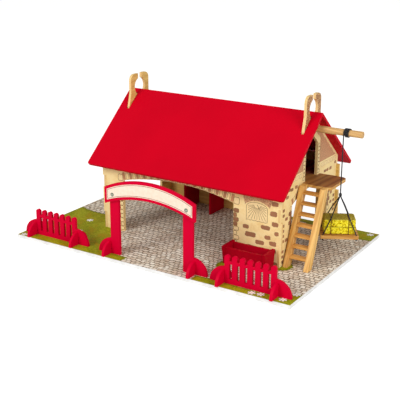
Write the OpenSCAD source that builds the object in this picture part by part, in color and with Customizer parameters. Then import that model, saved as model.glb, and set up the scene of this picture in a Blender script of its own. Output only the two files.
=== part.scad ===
// Toy barn on a printed ground board, with two roof halves that swing up round
// the curved horns of the gables, stall doors, a loft with a hoist, and loose yard pieces.
// Millimetres. X runs along the ridge, -Y is the open front, Z is up.
// The origin is the middle of the ground board's underside.

/* [Ground board] */
// Length of the board
board_l = 680; // [640:5:760]
// Depth of the board
board_w = 440; // [420:5:500]
// Thickness of the board
board_t = 8; // [7:1:12]

/* [Barn] */
// Length over the outer faces of the gables
barn_l = 446; // [430:2:460]
// Depth over the front and rear walls
barn_w = 268; // [260:2:276]
// Middle of the barn along the board
barn_x = 18; // [14:1:22]
// Ridge line, measured back from the middle of the board
barn_y = 60; // [56:1:64]
// Thickness of the plywood walls
ply = 6; // [5:0.5:7]
// Height of the walls at the eaves
wall_h = 176; // [172:1:184]
// How far the front wall's tabs stand out of the gables
front_proud = 3; // [1:0.5:5]
// How far the rear wall's tabs stand out of the gables
rear_proud = 7; // [3:0.5:9]
// Height of the lower tab of each wall
low_tab_h = 58; // [40:1:70]
// Height of the upper tab of each wall
high_tab_h = 32; // [20:1:36]

/* [Doorways] */
// Width of the wide doorway in the front wall
front_door_w = 283; // [240:1:290]
// Width of the pier left of the front doorway
front_pier_w = 54; // [48:1:60]
// Width of the doorway in the rear wall
rear_door_w = 168; // [120:1:176]
// Width of the pier right of the rear doorway
rear_pier_w = 46; // [40:1:56]
// Width of the doorway in each gable
side_door_w = 170; // [140:1:180]
// Height of the doorways at the crown of their arch
door_h = 138; // [126:1:140]
// Rise of the doorway arches
arch_rise = 18; // [10:1:22]
// Width of the loft doorway
loft_door_w = 57; // [50:1:60]
// Height of the loft doorway's upright sides
loft_door_h = 71; // [60:1:74]
// Height of the sloping head of the loft doorway
loft_head_h = 19; // [12:1:20]

/* [Roof] */
// Slope of the roof in degrees
pitch = 40.6; // [39.5:0.1:41.5]
// Thickness of the roof panels
roof_t = 6; // [5:0.5:7]
// How far the roof runs past each gable
verge = 20.5; // [14:0.5:26]
// How far the eaves run past the walls, level with the ground
eave = 33; // [24:1:40]
// Radius of the eave corners
eave_corner_r = 5; // [2:0.5:8]

/* [Horns] */
// Radius of the round space between the horns
horn_in_r = 20; // [18:0.5:21]
// Outer half width of the horns
horn_out_r = 33.5; // [32:0.5:36]
// Half width of the horns where they meet the roof slope
horn_foot_r = 41; // [38:0.5:44]
// Height of the horns above the ridge
horn_h = 36; // [33:0.5:38]
// Gap between the tips of the horns
horn_gap = 14; // [4:0.5:16]

/* [Loft] */
// Height of the loft floor's top above the board
loft_z = 156.5; // [155:0.5:158]
// Thickness of the loft floor and the platform
loft_t = 6; // [5:0.5:7]
// How far the platform stands out from the gable
platform_l = 64; // [60:1:66]
// Width of the platform
platform_w = 86; // [80:1:92]
// Section of the battens that carry the loft floor
batten = 8; // [7:0.5:9]

/* [Hoist] */
// Diameter of the hoist pole
pole_d = 14; // [12:0.5:16]
// Length of the pole outside the gable
pole_out = 110; // [100:1:116]
// Height of the pole's axis above the board
pole_z = 264.5; // [262:0.5:266]
// Diameter of the cord
cord_d = 2.4; // [2.2:0.1:2.5]
// Turns of cord on the pole
cord_turns = 3; // [3:1:6]
// Distance from the gable to the cord that hangs
cord_out = 71.5; // [70:0.5:76]
// Height of the knot's middle above the board
knot_z = 135; // [130:1:140]

/* [Tray and bale] */
// Length of the tray
tray_l = 78; // [74:1:84]
// Width of the tray
tray_w = 56; // [54:1:62]
// Thickness of the tray
tray_t = 7; // [6:0.5:9]
// Height of the tray's top above the board
tray_z = 55; // [50:1:56]
// How far the tray is turned from the line of the ridge
tray_turn = 29; // [0:1:40]
// Length of the hay bale
bale_l = 66; // [56:1:68]
// Width of the hay bale
bale_w = 44; // [36:1:45]
// Height of the hay bale
bale_h = 32; // [22:1:32]

/* [Ladder] */
// Width over the ladder's rails
ladder_w = 56; // [46:1:57]
// Thickness of a rail
rail_t = 10; // [7:0.5:11]
// Depth of a rail, level with the ground
rail_d = 18; // [14:0.5:20]
// How far the ladder's foot stands forward of its head
ladder_lean = 64; // [54:1:72]
// Number of rungs
rung_count = 7; // [5:1:8]
// Thickness of a rung
rung_t = 4.5; // [3.5:0.5:6]

/* [Trough] */
// Length of the trough
trough_l = 100; // [80:1:104]
// Width of the trough at its rim
trough_w = 44; // [38:1:48]
// Height of the trough
trough_h = 40; // [32:1:44]
// How much each side of the trough leans out
trough_lean = 7; // [3:0.5:9]

/* [Gate] */
// Distance between the middles of the posts
gate_span = 182; // [170:1:184]
// Width of a post
post_w = 23; // [18:1:26]
// Width of the arched sign
sign_w = 222; // [212:1:226]
// Height of the sign's top at its ends
sign_end_h = 148; // [140:1:152]
// Height of the sign's top at its crown
sign_crown_h = 173.5; // [168:0.5:180]
// Depth of the sign
sign_depth = 38; // [30:1:40]
// Radius of the round toes of the gate and its feet
gate_toe_r = 33; // [28:1:34]

/* [Fences] */
// Number of pickets in each fence
picket_count = 7; // [5:1:7]
// Distance from picket to picket
picket_pitch = 17; // [15:0.5:17]
// Width of a picket
picket_w = 11; // [8:0.5:12]
// Height of the pickets
picket_h = 59.5; // [54:0.5:66]
// Radius of the round toes of the fences
fence_toe_r = 33; // [26:1:33]
// Radius of the half round feet
foot_r = 29; // [24:1:32]

/* [Stall doors] */
// Length of a stall door from its pin to its free edge
leaf_l = 60; // [50:1:64]
// Diameter of the door pins
leaf_pin_d = 4; // [3:0.5:5]

/* [Hidden] */

// Clearances: a slot round a tab, a piece on its seat, and a pin in its bore
slot_fit = 0.1;
seat = 0.3;
pin_fit = 0.06;
wide = 600;

// Barn lines
deck = board_t;
left_x = barn_x - barn_l / 2;
right_x = barn_x + barn_l / 2;
front_y = barn_y - barn_w / 2;
rear_y = barn_y + barn_w / 2;
inner_l = barn_l - 2 * ply;
peak_h = wall_h + tan(pitch) * barn_w / 2;
ridge_z = deck + peak_h + (roof_t + seat) / cos(pitch);
slope_l = (barn_w / 2 + eave) / cos(pitch);
ridge_gap = 0.4;

// Tabs and tenons
low_tab_z = 38;
high_tab_z = 124;
tenon_l = 30;
tenon_h = board_t - 0.5;
tenon_side = 19;
rear_tenon_pitch = 100;
front_tenons = [left_x + front_pier_w / 2, right_x - ply - 2 * tenon_l];
rear_tenons = [left_x + ply + 2 * tenon_l, left_x + ply + 2 * tenon_l + rear_tenon_pitch,
    right_x - rear_pier_w / 2];
side_tenons = [-barn_w / 2 + ply + tenon_side, barn_w / 2 - ply - tenon_side];

// Doorways, measured from the left gable's outer face or the ridge line
front_door_x = left_x + front_pier_w + front_door_w / 2;
rear_door_x = right_x - rear_pier_w - rear_door_w / 2;
loft_sill = loft_z - loft_t;
loft_head_w = 12;

// Horns: the ring round the ridge that the roof slots travel along
horn_mid = 6;
horn_round = 14;
slot_in = sqrt(pow(horn_in_r, 2) - pow(roof_t + horn_mid * cos(pitch), 2)) - horn_mid * sin(pitch) - 0.6;
slot_out = (horn_foot_r + roof_t * sin(pitch)) / cos(pitch) + 0.6;
slot_w = ply + 1.2;

// Loft
tongue_w = loft_door_w - 1;
tongue_in = 30;
cleat_l = 38;
cleat_w = 70;
platform_corner_r = 12;
batten_screw_x = [-170, 0, 170];
screw_r = 1.2;
screw_head_r = 2.5;
screw_head_h = 1.6;
screw_l = 11;

// Hoist
pole_r = pole_d / 2;
block_l = 22;
block_w = 26;
block_h = 24;
pole_in = ply + block_l + 10;
pole_chamfer = 1;
pin_r = 1.5;
pin_l = 22;
wind_r = pole_r + 0.2 + cord_d / 2;
wind_pitch = cord_d + 0.55;
wind_tail = 2 * cord_d;
wind_rings = 24;
wind_half_turns = 2 * cord_turns + 1;
cord_x = right_x + cord_out;
cord_y = barn_y - wind_r;
pole_axis_z = deck + pole_z;
winding_knot_r = 2.2;
knot_r = 3.1;
knot_h = 7.5;

// Tray cords bend over the bale's long edges, then run down to the tray's corners
hole_u = tray_l / 2 - 4.7;
hole_v = tray_w / 2 - 3.1;
hole_r = cord_d / 2 + 0.3;
bend_u = 20;
bend_z = tray_z + bale_h + 2;
stop_r = 2.4;
stop_h = 4;
cord_sides = 8;
bale_round = 4;
string_u = bale_l / 2 - 15;
string_w = 1.6;
string_t = 0.8;
string_play = 0.05;

// Ladder, standing against the platform's front edge
platform_front_y = barn_y - platform_w / 2;
ladder_x = right_x + 3.5 + ladder_w / 2;
ladder_top_y = platform_front_y - seat - rail_d;
ladder_foot_y = ladder_top_y - ladder_lean;
ladder_h = loft_z;
rung_pitch = 20.5;
rung_d = rail_d - 3;
dado = 2;

// Trough, standing against the front wall
trough_x = right_x - 9 - trough_l / 2;
trough_y = front_y - 2 - trough_w / 2;
trough_t = 5;
trough_end_t = 6;
trough_inset = 2;
trough_floor_z = 5;

// Gate
gate_x = 8;
gate_y = -192;
gate_t = 6;
sign_y = gate_y - gate_t / 2 - gate_t;
sign_under_h = sign_crown_h - sign_depth - 1;
sign_low_h = sign_end_h - sign_depth + 2;
post_h = sign_end_h - 8;
sign_border = 6;
plate_t = 1;
foot_t = 6;
gate_foot_out = gate_span / 2 + post_w / 2 + foot_t / 2;
gate_screw_h = 134;
gate_screw_r = 1.6;
gate_head_r = 3.2;

// Fences
fence_t = 6;
fence_left_x = -247.5;
fence_left_y = -191.5;
fence_right_x = 241.5;
fence_right_y = -194.5;
low_rail_h = 10;
top_rail_z = 41.5;
top_rail_h = 6;
fence_l = (picket_count - 1) * picket_pitch + picket_w;

// Stall doors, hung on pins between the board and the rear batten
leaf_t = 6;
stall_1_w = 86;
stall_2_w = 71;
leaf_x = [left_x + stall_1_w, left_x + stall_1_w + stall_2_w];
leaf_pin_y = rear_y - ply - 4;
leaf_gap = 1;
leaf_top = loft_sill - batten - leaf_gap;
leaf_pin_r = leaf_pin_d / 2;
leaf_pin_in = 5;

// Radius of an arc over a chord of the given width
function arc_r(w, rise) = (w * w / 4 + rise * rise) / (2 * rise);

// Flat shape with an arched head, standing on the line y = 0
module arch_2d(w, h, rise) {
    r = arc_r(w, rise);
    intersection() {
        translate([-w / 2, -1]) square([w, h + 1]);
        translate([0, h - r]) circle(r = r, $fn = 360);
    }
}

// Rectangle round its middle, with round corners
module round_rect_2d(w, h, r) {
    square([w - 2 * r, h], center = true);
    square([w, h - 2 * r], center = true);
    for (sx = [-1, 1], sy = [-1, 1])
        translate([sx * (w / 2 - r), sy * (h / 2 - r)]) circle(r = r, $fn = 32);
}

// Plate in the XZ plane, from y to y + t
module xz_plate(y, t) {
    translate([0, y + t, 0]) rotate([90, 0, 0]) linear_extrude(t) children();
}

// Plate in the YZ plane, from x to x + t
module yz_plate(x, t) {
    translate([x, 0, 0]) rotate([90, 0, 90]) linear_extrude(t) children();
}

// Tube of the given radius along a list of points, closed by flat ends
function unit(v) = v / norm(v);
function heading(p, i) =
    i == 0 ? unit(p[1] - p[0]) :
    i == len(p) - 1 ? unit(p[i] - p[i - 1]) :
    unit(unit(p[i] - p[i - 1]) + unit(p[i + 1] - p[i]));
function ring(p, i, side, r, n) =
    let (t = heading(p, i), a = unit(cross(side, t)), b = cross(t, a))
    [for (k = [0 : n - 1]) p[i] + r * (cos(360 * k / n) * a + sin(360 * k / n) * b)];
module tube(p, side, r, n) {
    pts = [for (i = [0 : len(p) - 1]) each ring(p, i, side, r, n)];
    last = (len(p) - 1) * n;
    walls = [for (i = [0 : len(p) - 2], k = [0 : n - 1])
        let (a = i * n + k, b = i * n + (k + 1) % n) each [[a, b, b + n], [a, b + n, a + n]]];
    caps = [for (k = [1 : n - 2]) each [[0, k + 1, k], [last, last + k, last + k + 1]]];
    polyhedron(points = pts, faces = concat([for (f = walls) [f[2], f[1], f[0]]],
        [for (f = caps) [f[2], f[1], f[0]]]));
}

// Slots in the board for the tenons under the walls
module tenon_slots() {
    for (x = front_tenons)
        tenon_slot(x, front_y + ply / 2, tenon_l, ply);
    for (x = rear_tenons)
        tenon_slot(x, rear_y - ply / 2, tenon_l, ply);
    for (x = [left_x + ply / 2, right_x - ply / 2], y = side_tenons)
        tenon_slot(x, barn_y + y, ply, tenon_l);
}
module tenon_slot(x, y, w, d) {
    translate([x, y, board_t / 2])
        cube([w + 2 * slot_fit, d + 2 * slot_fit, board_t + 2], center = true);
}

module base_board() {
    color("darkkhaki") difference() {
        translate([-board_l / 2, -board_w / 2, 0]) cube([board_l, board_w, board_t]);
        tenon_slots();
        for (x = leaf_x)
            translate([x, leaf_pin_y, deck - leaf_pin_in])
                cylinder(r = leaf_pin_r + pin_fit, h = leaf_pin_in + 1, $fn = 32);
    }
}

// Front or rear wall: a plate between the gables with two tabs at each end
module long_wall_2d(proud, door_x, door_w, tenons) {
    difference() {
        union() {
            translate([left_x + ply, 0]) square([inner_l, wall_h - seat]);
            for (tab = [[low_tab_z, low_tab_h], [high_tab_z, high_tab_h]])
                translate([left_x - proud, tab[0]])
                    square([barn_l + 2 * proud, tab[1]]);
            for (x = tenons)
                translate([x - tenon_l / 2, -tenon_h]) square([tenon_l, tenon_h + 1]);
        }
        translate([door_x, 0]) arch_2d(door_w, door_h, arch_rise);
    }
}
module batten_screw_holes(y) {
    for (x = batten_screw_x)
        translate([barn_x + x, y, deck + loft_sill - batten / 2]) rotate([90, 0, 0])
            cylinder(r = screw_r + pin_fit, h = 4 * batten, center = true, $fn = 24);
}
module front_wall() {
    color("burlywood") difference() {
        translate([0, 0, deck]) xz_plate(front_y, ply)
            long_wall_2d(front_proud, front_door_x, front_door_w, front_tenons);
        for (x = batten_screw_x)
            translate([barn_x + x, front_y + ply + 1, deck + loft_sill - batten / 2])
                rotate([90, 0, 0]) cylinder(r = screw_r + pin_fit, h = 4.2, $fn = 24);
    }
}
module rear_wall() {
    color("burlywood") difference() {
        translate([0, 0, deck]) xz_plate(rear_y - ply, ply)
            long_wall_2d(rear_proud, rear_door_x, rear_door_w, rear_tenons);
        for (x = batten_screw_x)
            translate([barn_x + x, rear_y - ply + 3.2, deck + loft_sill - batten / 2])
                rotate([90, 0, 0]) cylinder(r = screw_r + pin_fit, h = 4.2, $fn = 24);
    }
}

// The pair of curved horns, drawn round the top of the ridge
module horns_2d() {
    foot_z = -horn_foot_r * tan(pitch);
    low = -foot_z + 2 * horn_round;
    difference() {
        union() {
            translate([0, horn_h / 2 - horn_mid])
                round_rect_2d(2 * horn_out_r, horn_h + 2 * horn_mid, horn_round);
            polygon([[-horn_out_r, horn_mid], [-horn_out_r, -horn_mid], [-horn_foot_r, foot_z],
                [-horn_foot_r, -low], [horn_foot_r, -low], [horn_foot_r, foot_z],
                [horn_out_r, -horn_mid], [horn_out_r, horn_mid]]);
        }
        translate([0, horn_mid]) circle(r = horn_in_r, $fn = 96);
        translate([-horn_gap / 2, horn_mid]) square([horn_gap, wide]);
    }
}

// Gable: walls, horns, doorways and the notches for the long walls' tabs
module gable_2d(has_loft_door) {
    difference() {
        union() {
            polygon([[-barn_w / 2, 0], [barn_w / 2, 0], [barn_w / 2, wall_h],
                [0, peak_h], [-barn_w / 2, wall_h]]);
            difference() {
                translate([0, ridge_z - deck]) horns_2d();
                translate([-wide / 2, -wide]) square([wide, wide + 20]);
            }
            for (y = side_tenons)
                translate([y - tenon_l / 2, -tenon_h]) square([tenon_l, tenon_h + 1]);
        }
        arch_2d(side_door_w, door_h, arch_rise);
        if (has_loft_door)
            translate([0, loft_sill]) loft_door_2d();
        for (tab = [[low_tab_z, low_tab_h], [high_tab_z, high_tab_h]], side = [-1, 1])
            translate([side * barn_w / 2 - ply - slot_fit, tab[0] - slot_fit])
                square([2 * (ply + slot_fit), tab[1] + 2 * slot_fit]);
    }
}
module loft_door_2d() {
    h = loft_t + loft_door_h;
    polygon([[-loft_door_w / 2, 0], [loft_door_w / 2, 0], [loft_door_w / 2, h],
        [loft_head_w / 2, h + loft_head_h], [-loft_head_w / 2, h + loft_head_h],
        [-loft_door_w / 2, h]]);
}
module gable_left() {
    color("burlywood") translate([0, barn_y, deck])
        yz_plate(left_x, ply) gable_2d(false);
}
module gable_right() {
    color("burlywood") difference() {
        translate([0, barn_y, deck]) yz_plate(right_x - ply, ply) gable_2d(true);
        pole_bore();
    }
}
module pole_bore() {
    translate([right_x - pole_in, barn_y, pole_axis_z]) rotate([0, 90, 0])
        cylinder(r = pole_r + pin_fit, h = pole_in + ply, $fn = 64);
}

// Battens screwed to the long walls carry the loft floor
module batten_bar(y) {
    translate([left_x + ply + seat, y, deck + loft_sill - batten])
        cube([inner_l - 2 * seat, batten, batten]);
}
module front_batten() {
    color("tan") difference() {
        batten_bar(front_y + ply);
        batten_screw_holes(front_y + ply + batten / 2);
    }
}
module rear_batten() {
    color("tan") difference() {
        batten_bar(rear_y - ply - batten);
        batten_screw_holes(rear_y - ply - batten / 2);
        for (x = leaf_x)
            translate([x, leaf_pin_y, deck + loft_sill - batten - 1])
                cylinder(r = leaf_pin_r + pin_fit, h = leaf_pin_in + 1, $fn = 32);
    }
}
module screw(len) {
    cylinder(r = screw_r, h = len, $fn = 24);
    translate([0, 0, -screw_head_h]) cylinder(r1 = screw_head_r * 0.7, r2 = screw_head_r, h = screw_head_h, $fn = 24);
}
module batten_screws() {
    color("silver") for (x = batten_screw_x) {
        translate([barn_x + x, front_y + ply + batten, deck + loft_sill - batten / 2])
            rotate([90, 0, 0]) screw(screw_l);
        translate([barn_x + x, rear_y - ply - batten, deck + loft_sill - batten / 2])
            rotate([-90, 0, 0]) screw(screw_l);
    }
}

// Loft floor with a notch for the platform's tongue
cleat_screw_at = [for (x = [10, 28], y = [-18, 18]) [right_x - ply - x, barn_y + y]];
module cleat_screw_holes(z, h) {
    for (p = cleat_screw_at)
        translate([p[0], p[1], z]) cylinder(r = screw_r + pin_fit, h = h, $fn = 24);
}
module loft_floor() {
    color("saddlebrown") difference() {
        translate([left_x + ply + seat, front_y + ply + seat, deck + loft_sill])
            cube([inner_l - 2 * seat, barn_w - 2 * ply - 2 * seat, loft_t]);
        translate([right_x - ply - tongue_in - seat, barn_y - tongue_w / 2 - seat, deck + loft_sill - 1])
            cube([tongue_in + 10, tongue_w + 2 * seat, loft_t + 2]);
    }
}
module loft_platform() {
    color("sienna") difference() {
        translate([0, 0, deck + loft_sill]) linear_extrude(loft_t) {
            translate([right_x - ply - tongue_in, barn_y - tongue_w / 2])
                square([tongue_in + ply + 2, tongue_w]);
            platform_2d();
        }
        cleat_screw_holes(deck + loft_sill - 1, 4);
    }
}
module platform_2d() {
    x0 = right_x + seat;
    x1 = right_x + platform_l;
    y0 = barn_y - platform_w / 2;
    y1 = barn_y + platform_w / 2;
    r = platform_corner_r;
    translate([x0, y0]) square([platform_l - seat - r, platform_w]);
    translate([x0, y0 + r]) square([platform_l - seat, platform_w - 2 * r]);
    for (y = [y0 + r, y1 - r])
        translate([x1 - r, y]) circle(r = r, $fn = 48);
}
module platform_cleat() {
    color("tan") difference() {
        translate([right_x - ply - seat - cleat_l, barn_y - cleat_w / 2, deck + loft_sill - batten])
            cube([cleat_l, cleat_w, batten]);
        cleat_screw_holes(deck + loft_sill - batten - 1, batten + 2);
    }
}
module cleat_screws() {
    color("silver") for (p = cleat_screw_at)
        translate([p[0], p[1], deck + loft_sill - batten]) screw(screw_l);
}
module pole_block() {
    color("tan") difference() {
        translate([right_x - ply - block_l, barn_y - block_w / 2, pole_axis_z - block_h / 2])
            cube([block_l, block_w, block_h]);
        pole_bore();
    }
}

// Front roof half: a slab down the slope, mitred at the ridge, with a slot over each horn
module roof_half() {
    x0 = left_x - verge;
    len_x = barn_l + 2 * verge;
    r = eave_corner_r;
    intersection() {
        translate([0, barn_y, ridge_z]) rotate([pitch, 0, 0]) translate([0, 0, -roof_t])
            linear_extrude(roof_t) difference() {
                union() {
                    translate([x0, r - slope_l]) square([len_x, slope_l - r + 10]);
                    translate([x0 + r, -slope_l]) square([len_x - 2 * r, r + 1]);
                    for (x = [x0 + r, x0 + len_x - r])
                        translate([x, r - slope_l]) circle(r = r, $fn = 32);
                }
                for (x = [left_x + ply / 2, right_x - ply / 2])
                    translate([x - slot_w / 2, -slot_out]) square([slot_w, slot_out - slot_in]);
            }
        translate([x0 - 10, barn_y - wide - ridge_gap / 2, 0]) cube([len_x + 20, wide, wide]);
    }
}
module roof_front() {
    color("crimson") roof_half();
}
module roof_rear() {
    color("crimson") translate([0, 2 * barn_y, 0]) mirror([0, 1, 0]) roof_half();
}

// Hoist pole with chamfered ends, and a peg across its inner end
module hoist_pole() {
    c = pole_chamfer;
    len_x = pole_in + pole_out;
    color("peru") difference() {
        translate([right_x - pole_in, barn_y, pole_axis_z]) rotate([0, 90, 0]) rotate_extrude($fn = 64)
            polygon([[0, 0], [pole_r - c, 0], [pole_r, c], [pole_r, len_x - c],
                [pole_r - c, len_x], [0, len_x]]);
        translate([pole_pin_x, barn_y, pole_axis_z - pole_r - 2])
            cylinder(r = pin_r + pin_fit, h = pole_d + 4, $fn = 24);
    }
}
pole_pin_x = right_x - ply - block_l - pin_r - 0.8;
module pole_pin() {
    color("tan") translate([pole_pin_x, barn_y, pole_axis_z - pin_l / 2])
        cylinder(r = pin_r, h = pin_l, $fn = 24);
}

// Winding: straight start below the pole's axis, turns along the pole, straight end
wind_steps = wind_half_turns * wind_rings / 2;
wind_turns_pts = [for (i = [0 : wind_steps])
    let (a = 360 * i / wind_rings)
    [wind_pitch * i / wind_rings, -wind_r * cos(a), wind_r * sin(a)]];
wind_end = wind_turns_pts[wind_steps];
wind_pts = concat([[0, -wind_r, -cord_d]], wind_turns_pts, [wind_end - [0, 0, wind_tail]]);
wind_gap = min([for (i = [0 : wind_steps + 2], j = [0 : wind_steps + 2])
    if (j - i > wind_rings / 2) norm(wind_pts[i] - wind_pts[j])]) - cord_d;
echo(least_gap_of_the_winding = wind_gap);
module cord_winding() {
    color("black") translate([cord_x, barn_y, pole_axis_z]) tube(wind_pts, [1, 0, 0], cord_d / 2, 6);
}
module winding_knot() {
    z = -wind_tail - winding_knot_r + 0.2;
    color("black") translate([cord_x, barn_y, pole_axis_z] + [wind_end[0], wind_end[1], z])
        intersection() {
            sphere(r = winding_knot_r, $fn = 24);
            translate([0, 0, -1]) cube([9, 9, 2 * winding_knot_r + 1.6], center = true);
        }
}
module hoist_cord() {
    top = pole_axis_z - cord_d;
    low = deck + knot_z + knot_h / 2;
    color("black") translate([cord_x, cord_y, low]) cylinder(r = cord_d / 2, h = top - low, $fn = 24);
}

// Everything on the tray is drawn round the hanging cord, then turned
module on_tray() {
    translate([cord_x, cord_y, deck]) rotate([0, 0, tray_turn]) children();
}
module tray_board() {
    color("peru") on_tray() difference() {
        translate([0, 0, tray_z - tray_t]) linear_extrude(tray_t) round_rect_2d(tray_l, tray_w, 2);
        for (u = [-hole_u, hole_u], v = [-hole_v, hole_v])
            translate([u, v, tray_z - tray_t - 1]) cylinder(r = hole_r, h = tray_t + 2, $fn = 24);
    }
}
// Knot: three full rings of cord drawn together
module tray_knot() {
    color("black") on_tray() translate([0, 0, knot_z - knot_h / 2]) rotate_extrude($fn = 32) {
        square([knot_r - 0.8, knot_h]);
        for (i = [0 : 2])
            translate([knot_r - 1.25, knot_h * (i + 0.5) / 3]) circle(r = knot_h / 6, $fn = 24);
    }
}
module tray_cords() {
    low = tray_z - tray_t - seat;
    color("black") on_tray() for (su = [-1, 1], sv = [-1, 1])
        tube([[su * 1.25, sv * 1.25, knot_z - knot_h / 2], [su * 1.25, sv * 1.25, knot_z - knot_h / 2 - 1.2],
            [su * bend_u * 0.55, sv * hole_v * 0.57, (knot_z + bend_z) / 2 - 2],
            [su * (bend_u - 2), sv * (hole_v - 1.6), bend_z + 4],
            [su * (bend_u + 2), sv * hole_v, bend_z - 5],
            [su * (hole_u - 1), sv * hole_v, tray_z + 2.5], [su * hole_u, sv * hole_v, tray_z],
            [su * hole_u, sv * hole_v, low]], [0.3, 1, 0], cord_d / 2, cord_sides);
}
module tray_stops() {
    color("black") on_tray() for (u = [-hole_u, hole_u], v = [-hole_v, hole_v])
        translate([u, v, tray_z - tray_t - seat - stop_h]) rotate_extrude($fn = 24)
            polygon([[0, 0], [stop_r * 0.6, 0], [stop_r, stop_h * 0.35], [stop_r, stop_h * 0.7],
                [stop_r * 0.75, stop_h], [0, stop_h]]);
}

// Hay bale: a block rounded in all three directions, and two strings round it
module hay_bale() {
    color("gold") on_tray() translate([0, 0, tray_z + bale_h / 2 + string_t + 0.1]) intersection() {
        translate([0, 0, -bale_h / 2]) linear_extrude(bale_h) round_rect_2d(bale_l, bale_w, bale_round);
        rotate([90, 0, 0]) translate([0, 0, -bale_w / 2]) linear_extrude(bale_w)
            round_rect_2d(bale_l, bale_h, bale_round);
        rotate([90, 0, 90]) translate([0, 0, -bale_l / 2]) linear_extrude(bale_l)
            round_rect_2d(bale_w, bale_h, bale_round);
    }
}
module bale_strings() {
    color("tan") on_tray() for (u = [-string_u, string_u])
        translate([u - string_w / 2, 0, tray_z + bale_h / 2 + string_t + 0.1]) rotate([90, 0, 90])
            linear_extrude(string_w) difference() {
                round_rect_2d(bale_w + 2 * string_t, bale_h + 2 * string_t, bale_round + string_t);
                round_rect_2d(bale_w + 2 * string_play, bale_h + 2 * string_play, bale_round + string_play);
            }
}

// Ladder: two leaning rails with housings, and level treads let into them
module rail_2d() {
    polygon([[ladder_foot_y, 0], [ladder_foot_y + rail_d, 0],
        [ladder_top_y + rail_d, ladder_h], [ladder_top_y, ladder_h]]);
}
function rung_y(z) = ladder_foot_y + ladder_lean * z / ladder_h + (rail_d - rung_d) / 2;
module treads(grow) {
    for (i = [1 : rung_count])
        if (i * rung_pitch < ladder_h - rung_t)
            translate([ladder_x, rung_y(i * rung_pitch) + rung_d / 2, deck + i * rung_pitch])
                cube([ladder_w - 2 * (rail_t - dado - grow), rung_d + 2 * grow, rung_t + 2 * grow], center = true);
}
module rail(x) {
    color("goldenrod") difference() {
        translate([0, 0, deck]) yz_plate(x, rail_t) rail_2d();
        treads(slot_fit);
    }
}
module ladder_rail_left() { rail(ladder_x - ladder_w / 2); }
module ladder_rail_right() { rail(ladder_x + ladder_w / 2 - rail_t); }
module ladder_rungs() { color("goldenrod") treads(0); }

// Trough: two end boards that taper to the ground, leaning sides and a floor
module trough_at(x) {
    translate([trough_x + x, trough_y, deck]) rotate([90, 0, 90]) children();
}
function lean(z) = trough_w / 2 - trough_lean * (1 - z / trough_h);
module trough_end_2d() {
    polygon([[-lean(0), 0], [lean(0), 0], [lean(trough_h), trough_h], [-lean(trough_h), trough_h]]);
}
module trough_ends() {
    color("firebrick") for (x = [-trough_l / 2, trough_l / 2 - trough_end_t])
        trough_at(x) linear_extrude(trough_end_t) trough_end_2d();
}
module trough_side(side) {
    z0 = trough_floor_z - 1;
    z1 = trough_h - 2;
    in = trough_inset;
    trough_at(trough_end_t - trough_l / 2) linear_extrude(trough_l - 2 * trough_end_t)
        polygon([[side * (lean(z0) - in), z0], [side * (lean(z1) - in), z1],
            [side * (lean(z1) - in - trough_t), z1], [side * (lean(z0) - in - trough_t), z0]]);
}
module trough_front() { color("firebrick") trough_side(-1); }
module trough_back() { color("firebrick") trough_side(1); }
module trough_bottom() {
    half = lean(trough_floor_z) - trough_inset - trough_t - 0.2;
    color("firebrick") trough_at(trough_end_t - trough_l / 2) linear_extrude(trough_l - 2 * trough_end_t)
        translate([-half, trough_floor_z]) square([2 * half, trough_t]);
}

// Quarter round toe that runs out from a post or a fence, standing on y = 0
module toe_2d(r) {
    intersection() {
        circle(r = r, $fn = 96);
        square([r + 1, r + 1]);
    }
}
// Half round foot across a post, slotted from above over the post's own slot
module cross_foot(x, y, r, t) {
    translate([x, y, deck]) difference() {
        rotate([90, 0, 90]) linear_extrude(foot_t, center = true) intersection() {
            circle(r = r, $fn = 96);
            translate([-wide / 2, 0]) square([wide, wide]);
        }
        translate([0, 0, r / 2 + r]) cube([foot_t + 2, t + 2 * slot_fit, 2 * r], center = true);
    }
}
// Slot from below in a panel, for a cross foot
module foot_slot_2d(x, r) {
    translate([x - foot_t / 2 - slot_fit, -1]) square([foot_t + 2 * slot_fit, r / 2 + 1]);
}

// Gate
module gate_post_2d(side) {
    difference() {
        union() {
            translate([side * gate_span / 2 - post_w / 2, 0]) square([post_w, post_h]);
            translate([side * (gate_span / 2 + post_w / 2 - 1), 0])
                mirror([side < 0 ? 1 : 0, 0]) toe_2d(gate_toe_r + 1);
        }
        foot_slot_2d(side * gate_foot_out, foot_r);
    }
}
module gate_post(side) {
    color("crimson") difference() {
        translate([gate_x, 0, deck]) xz_plate(gate_y - gate_t / 2, gate_t) gate_post_2d(side);
        gate_screw_holes();
    }
}
module gate_post_left() { gate_post(-1); }
module gate_post_right() { gate_post(1); }
module gate_foot_left() { color("crimson") cross_foot(gate_x - gate_foot_out, gate_y, foot_r, gate_t); }
module gate_foot_right() { color("crimson") cross_foot(gate_x + gate_foot_out, gate_y, foot_r, gate_t); }
module gate_screw_holes() {
    for (side = [-1, 1])
        translate([gate_x + side * gate_span / 2, gate_y + 1, deck + gate_screw_h]) rotate([90, 0, 0])
            cylinder(r = gate_screw_r + pin_fit, h = 20, $fn = 24);
}

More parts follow.
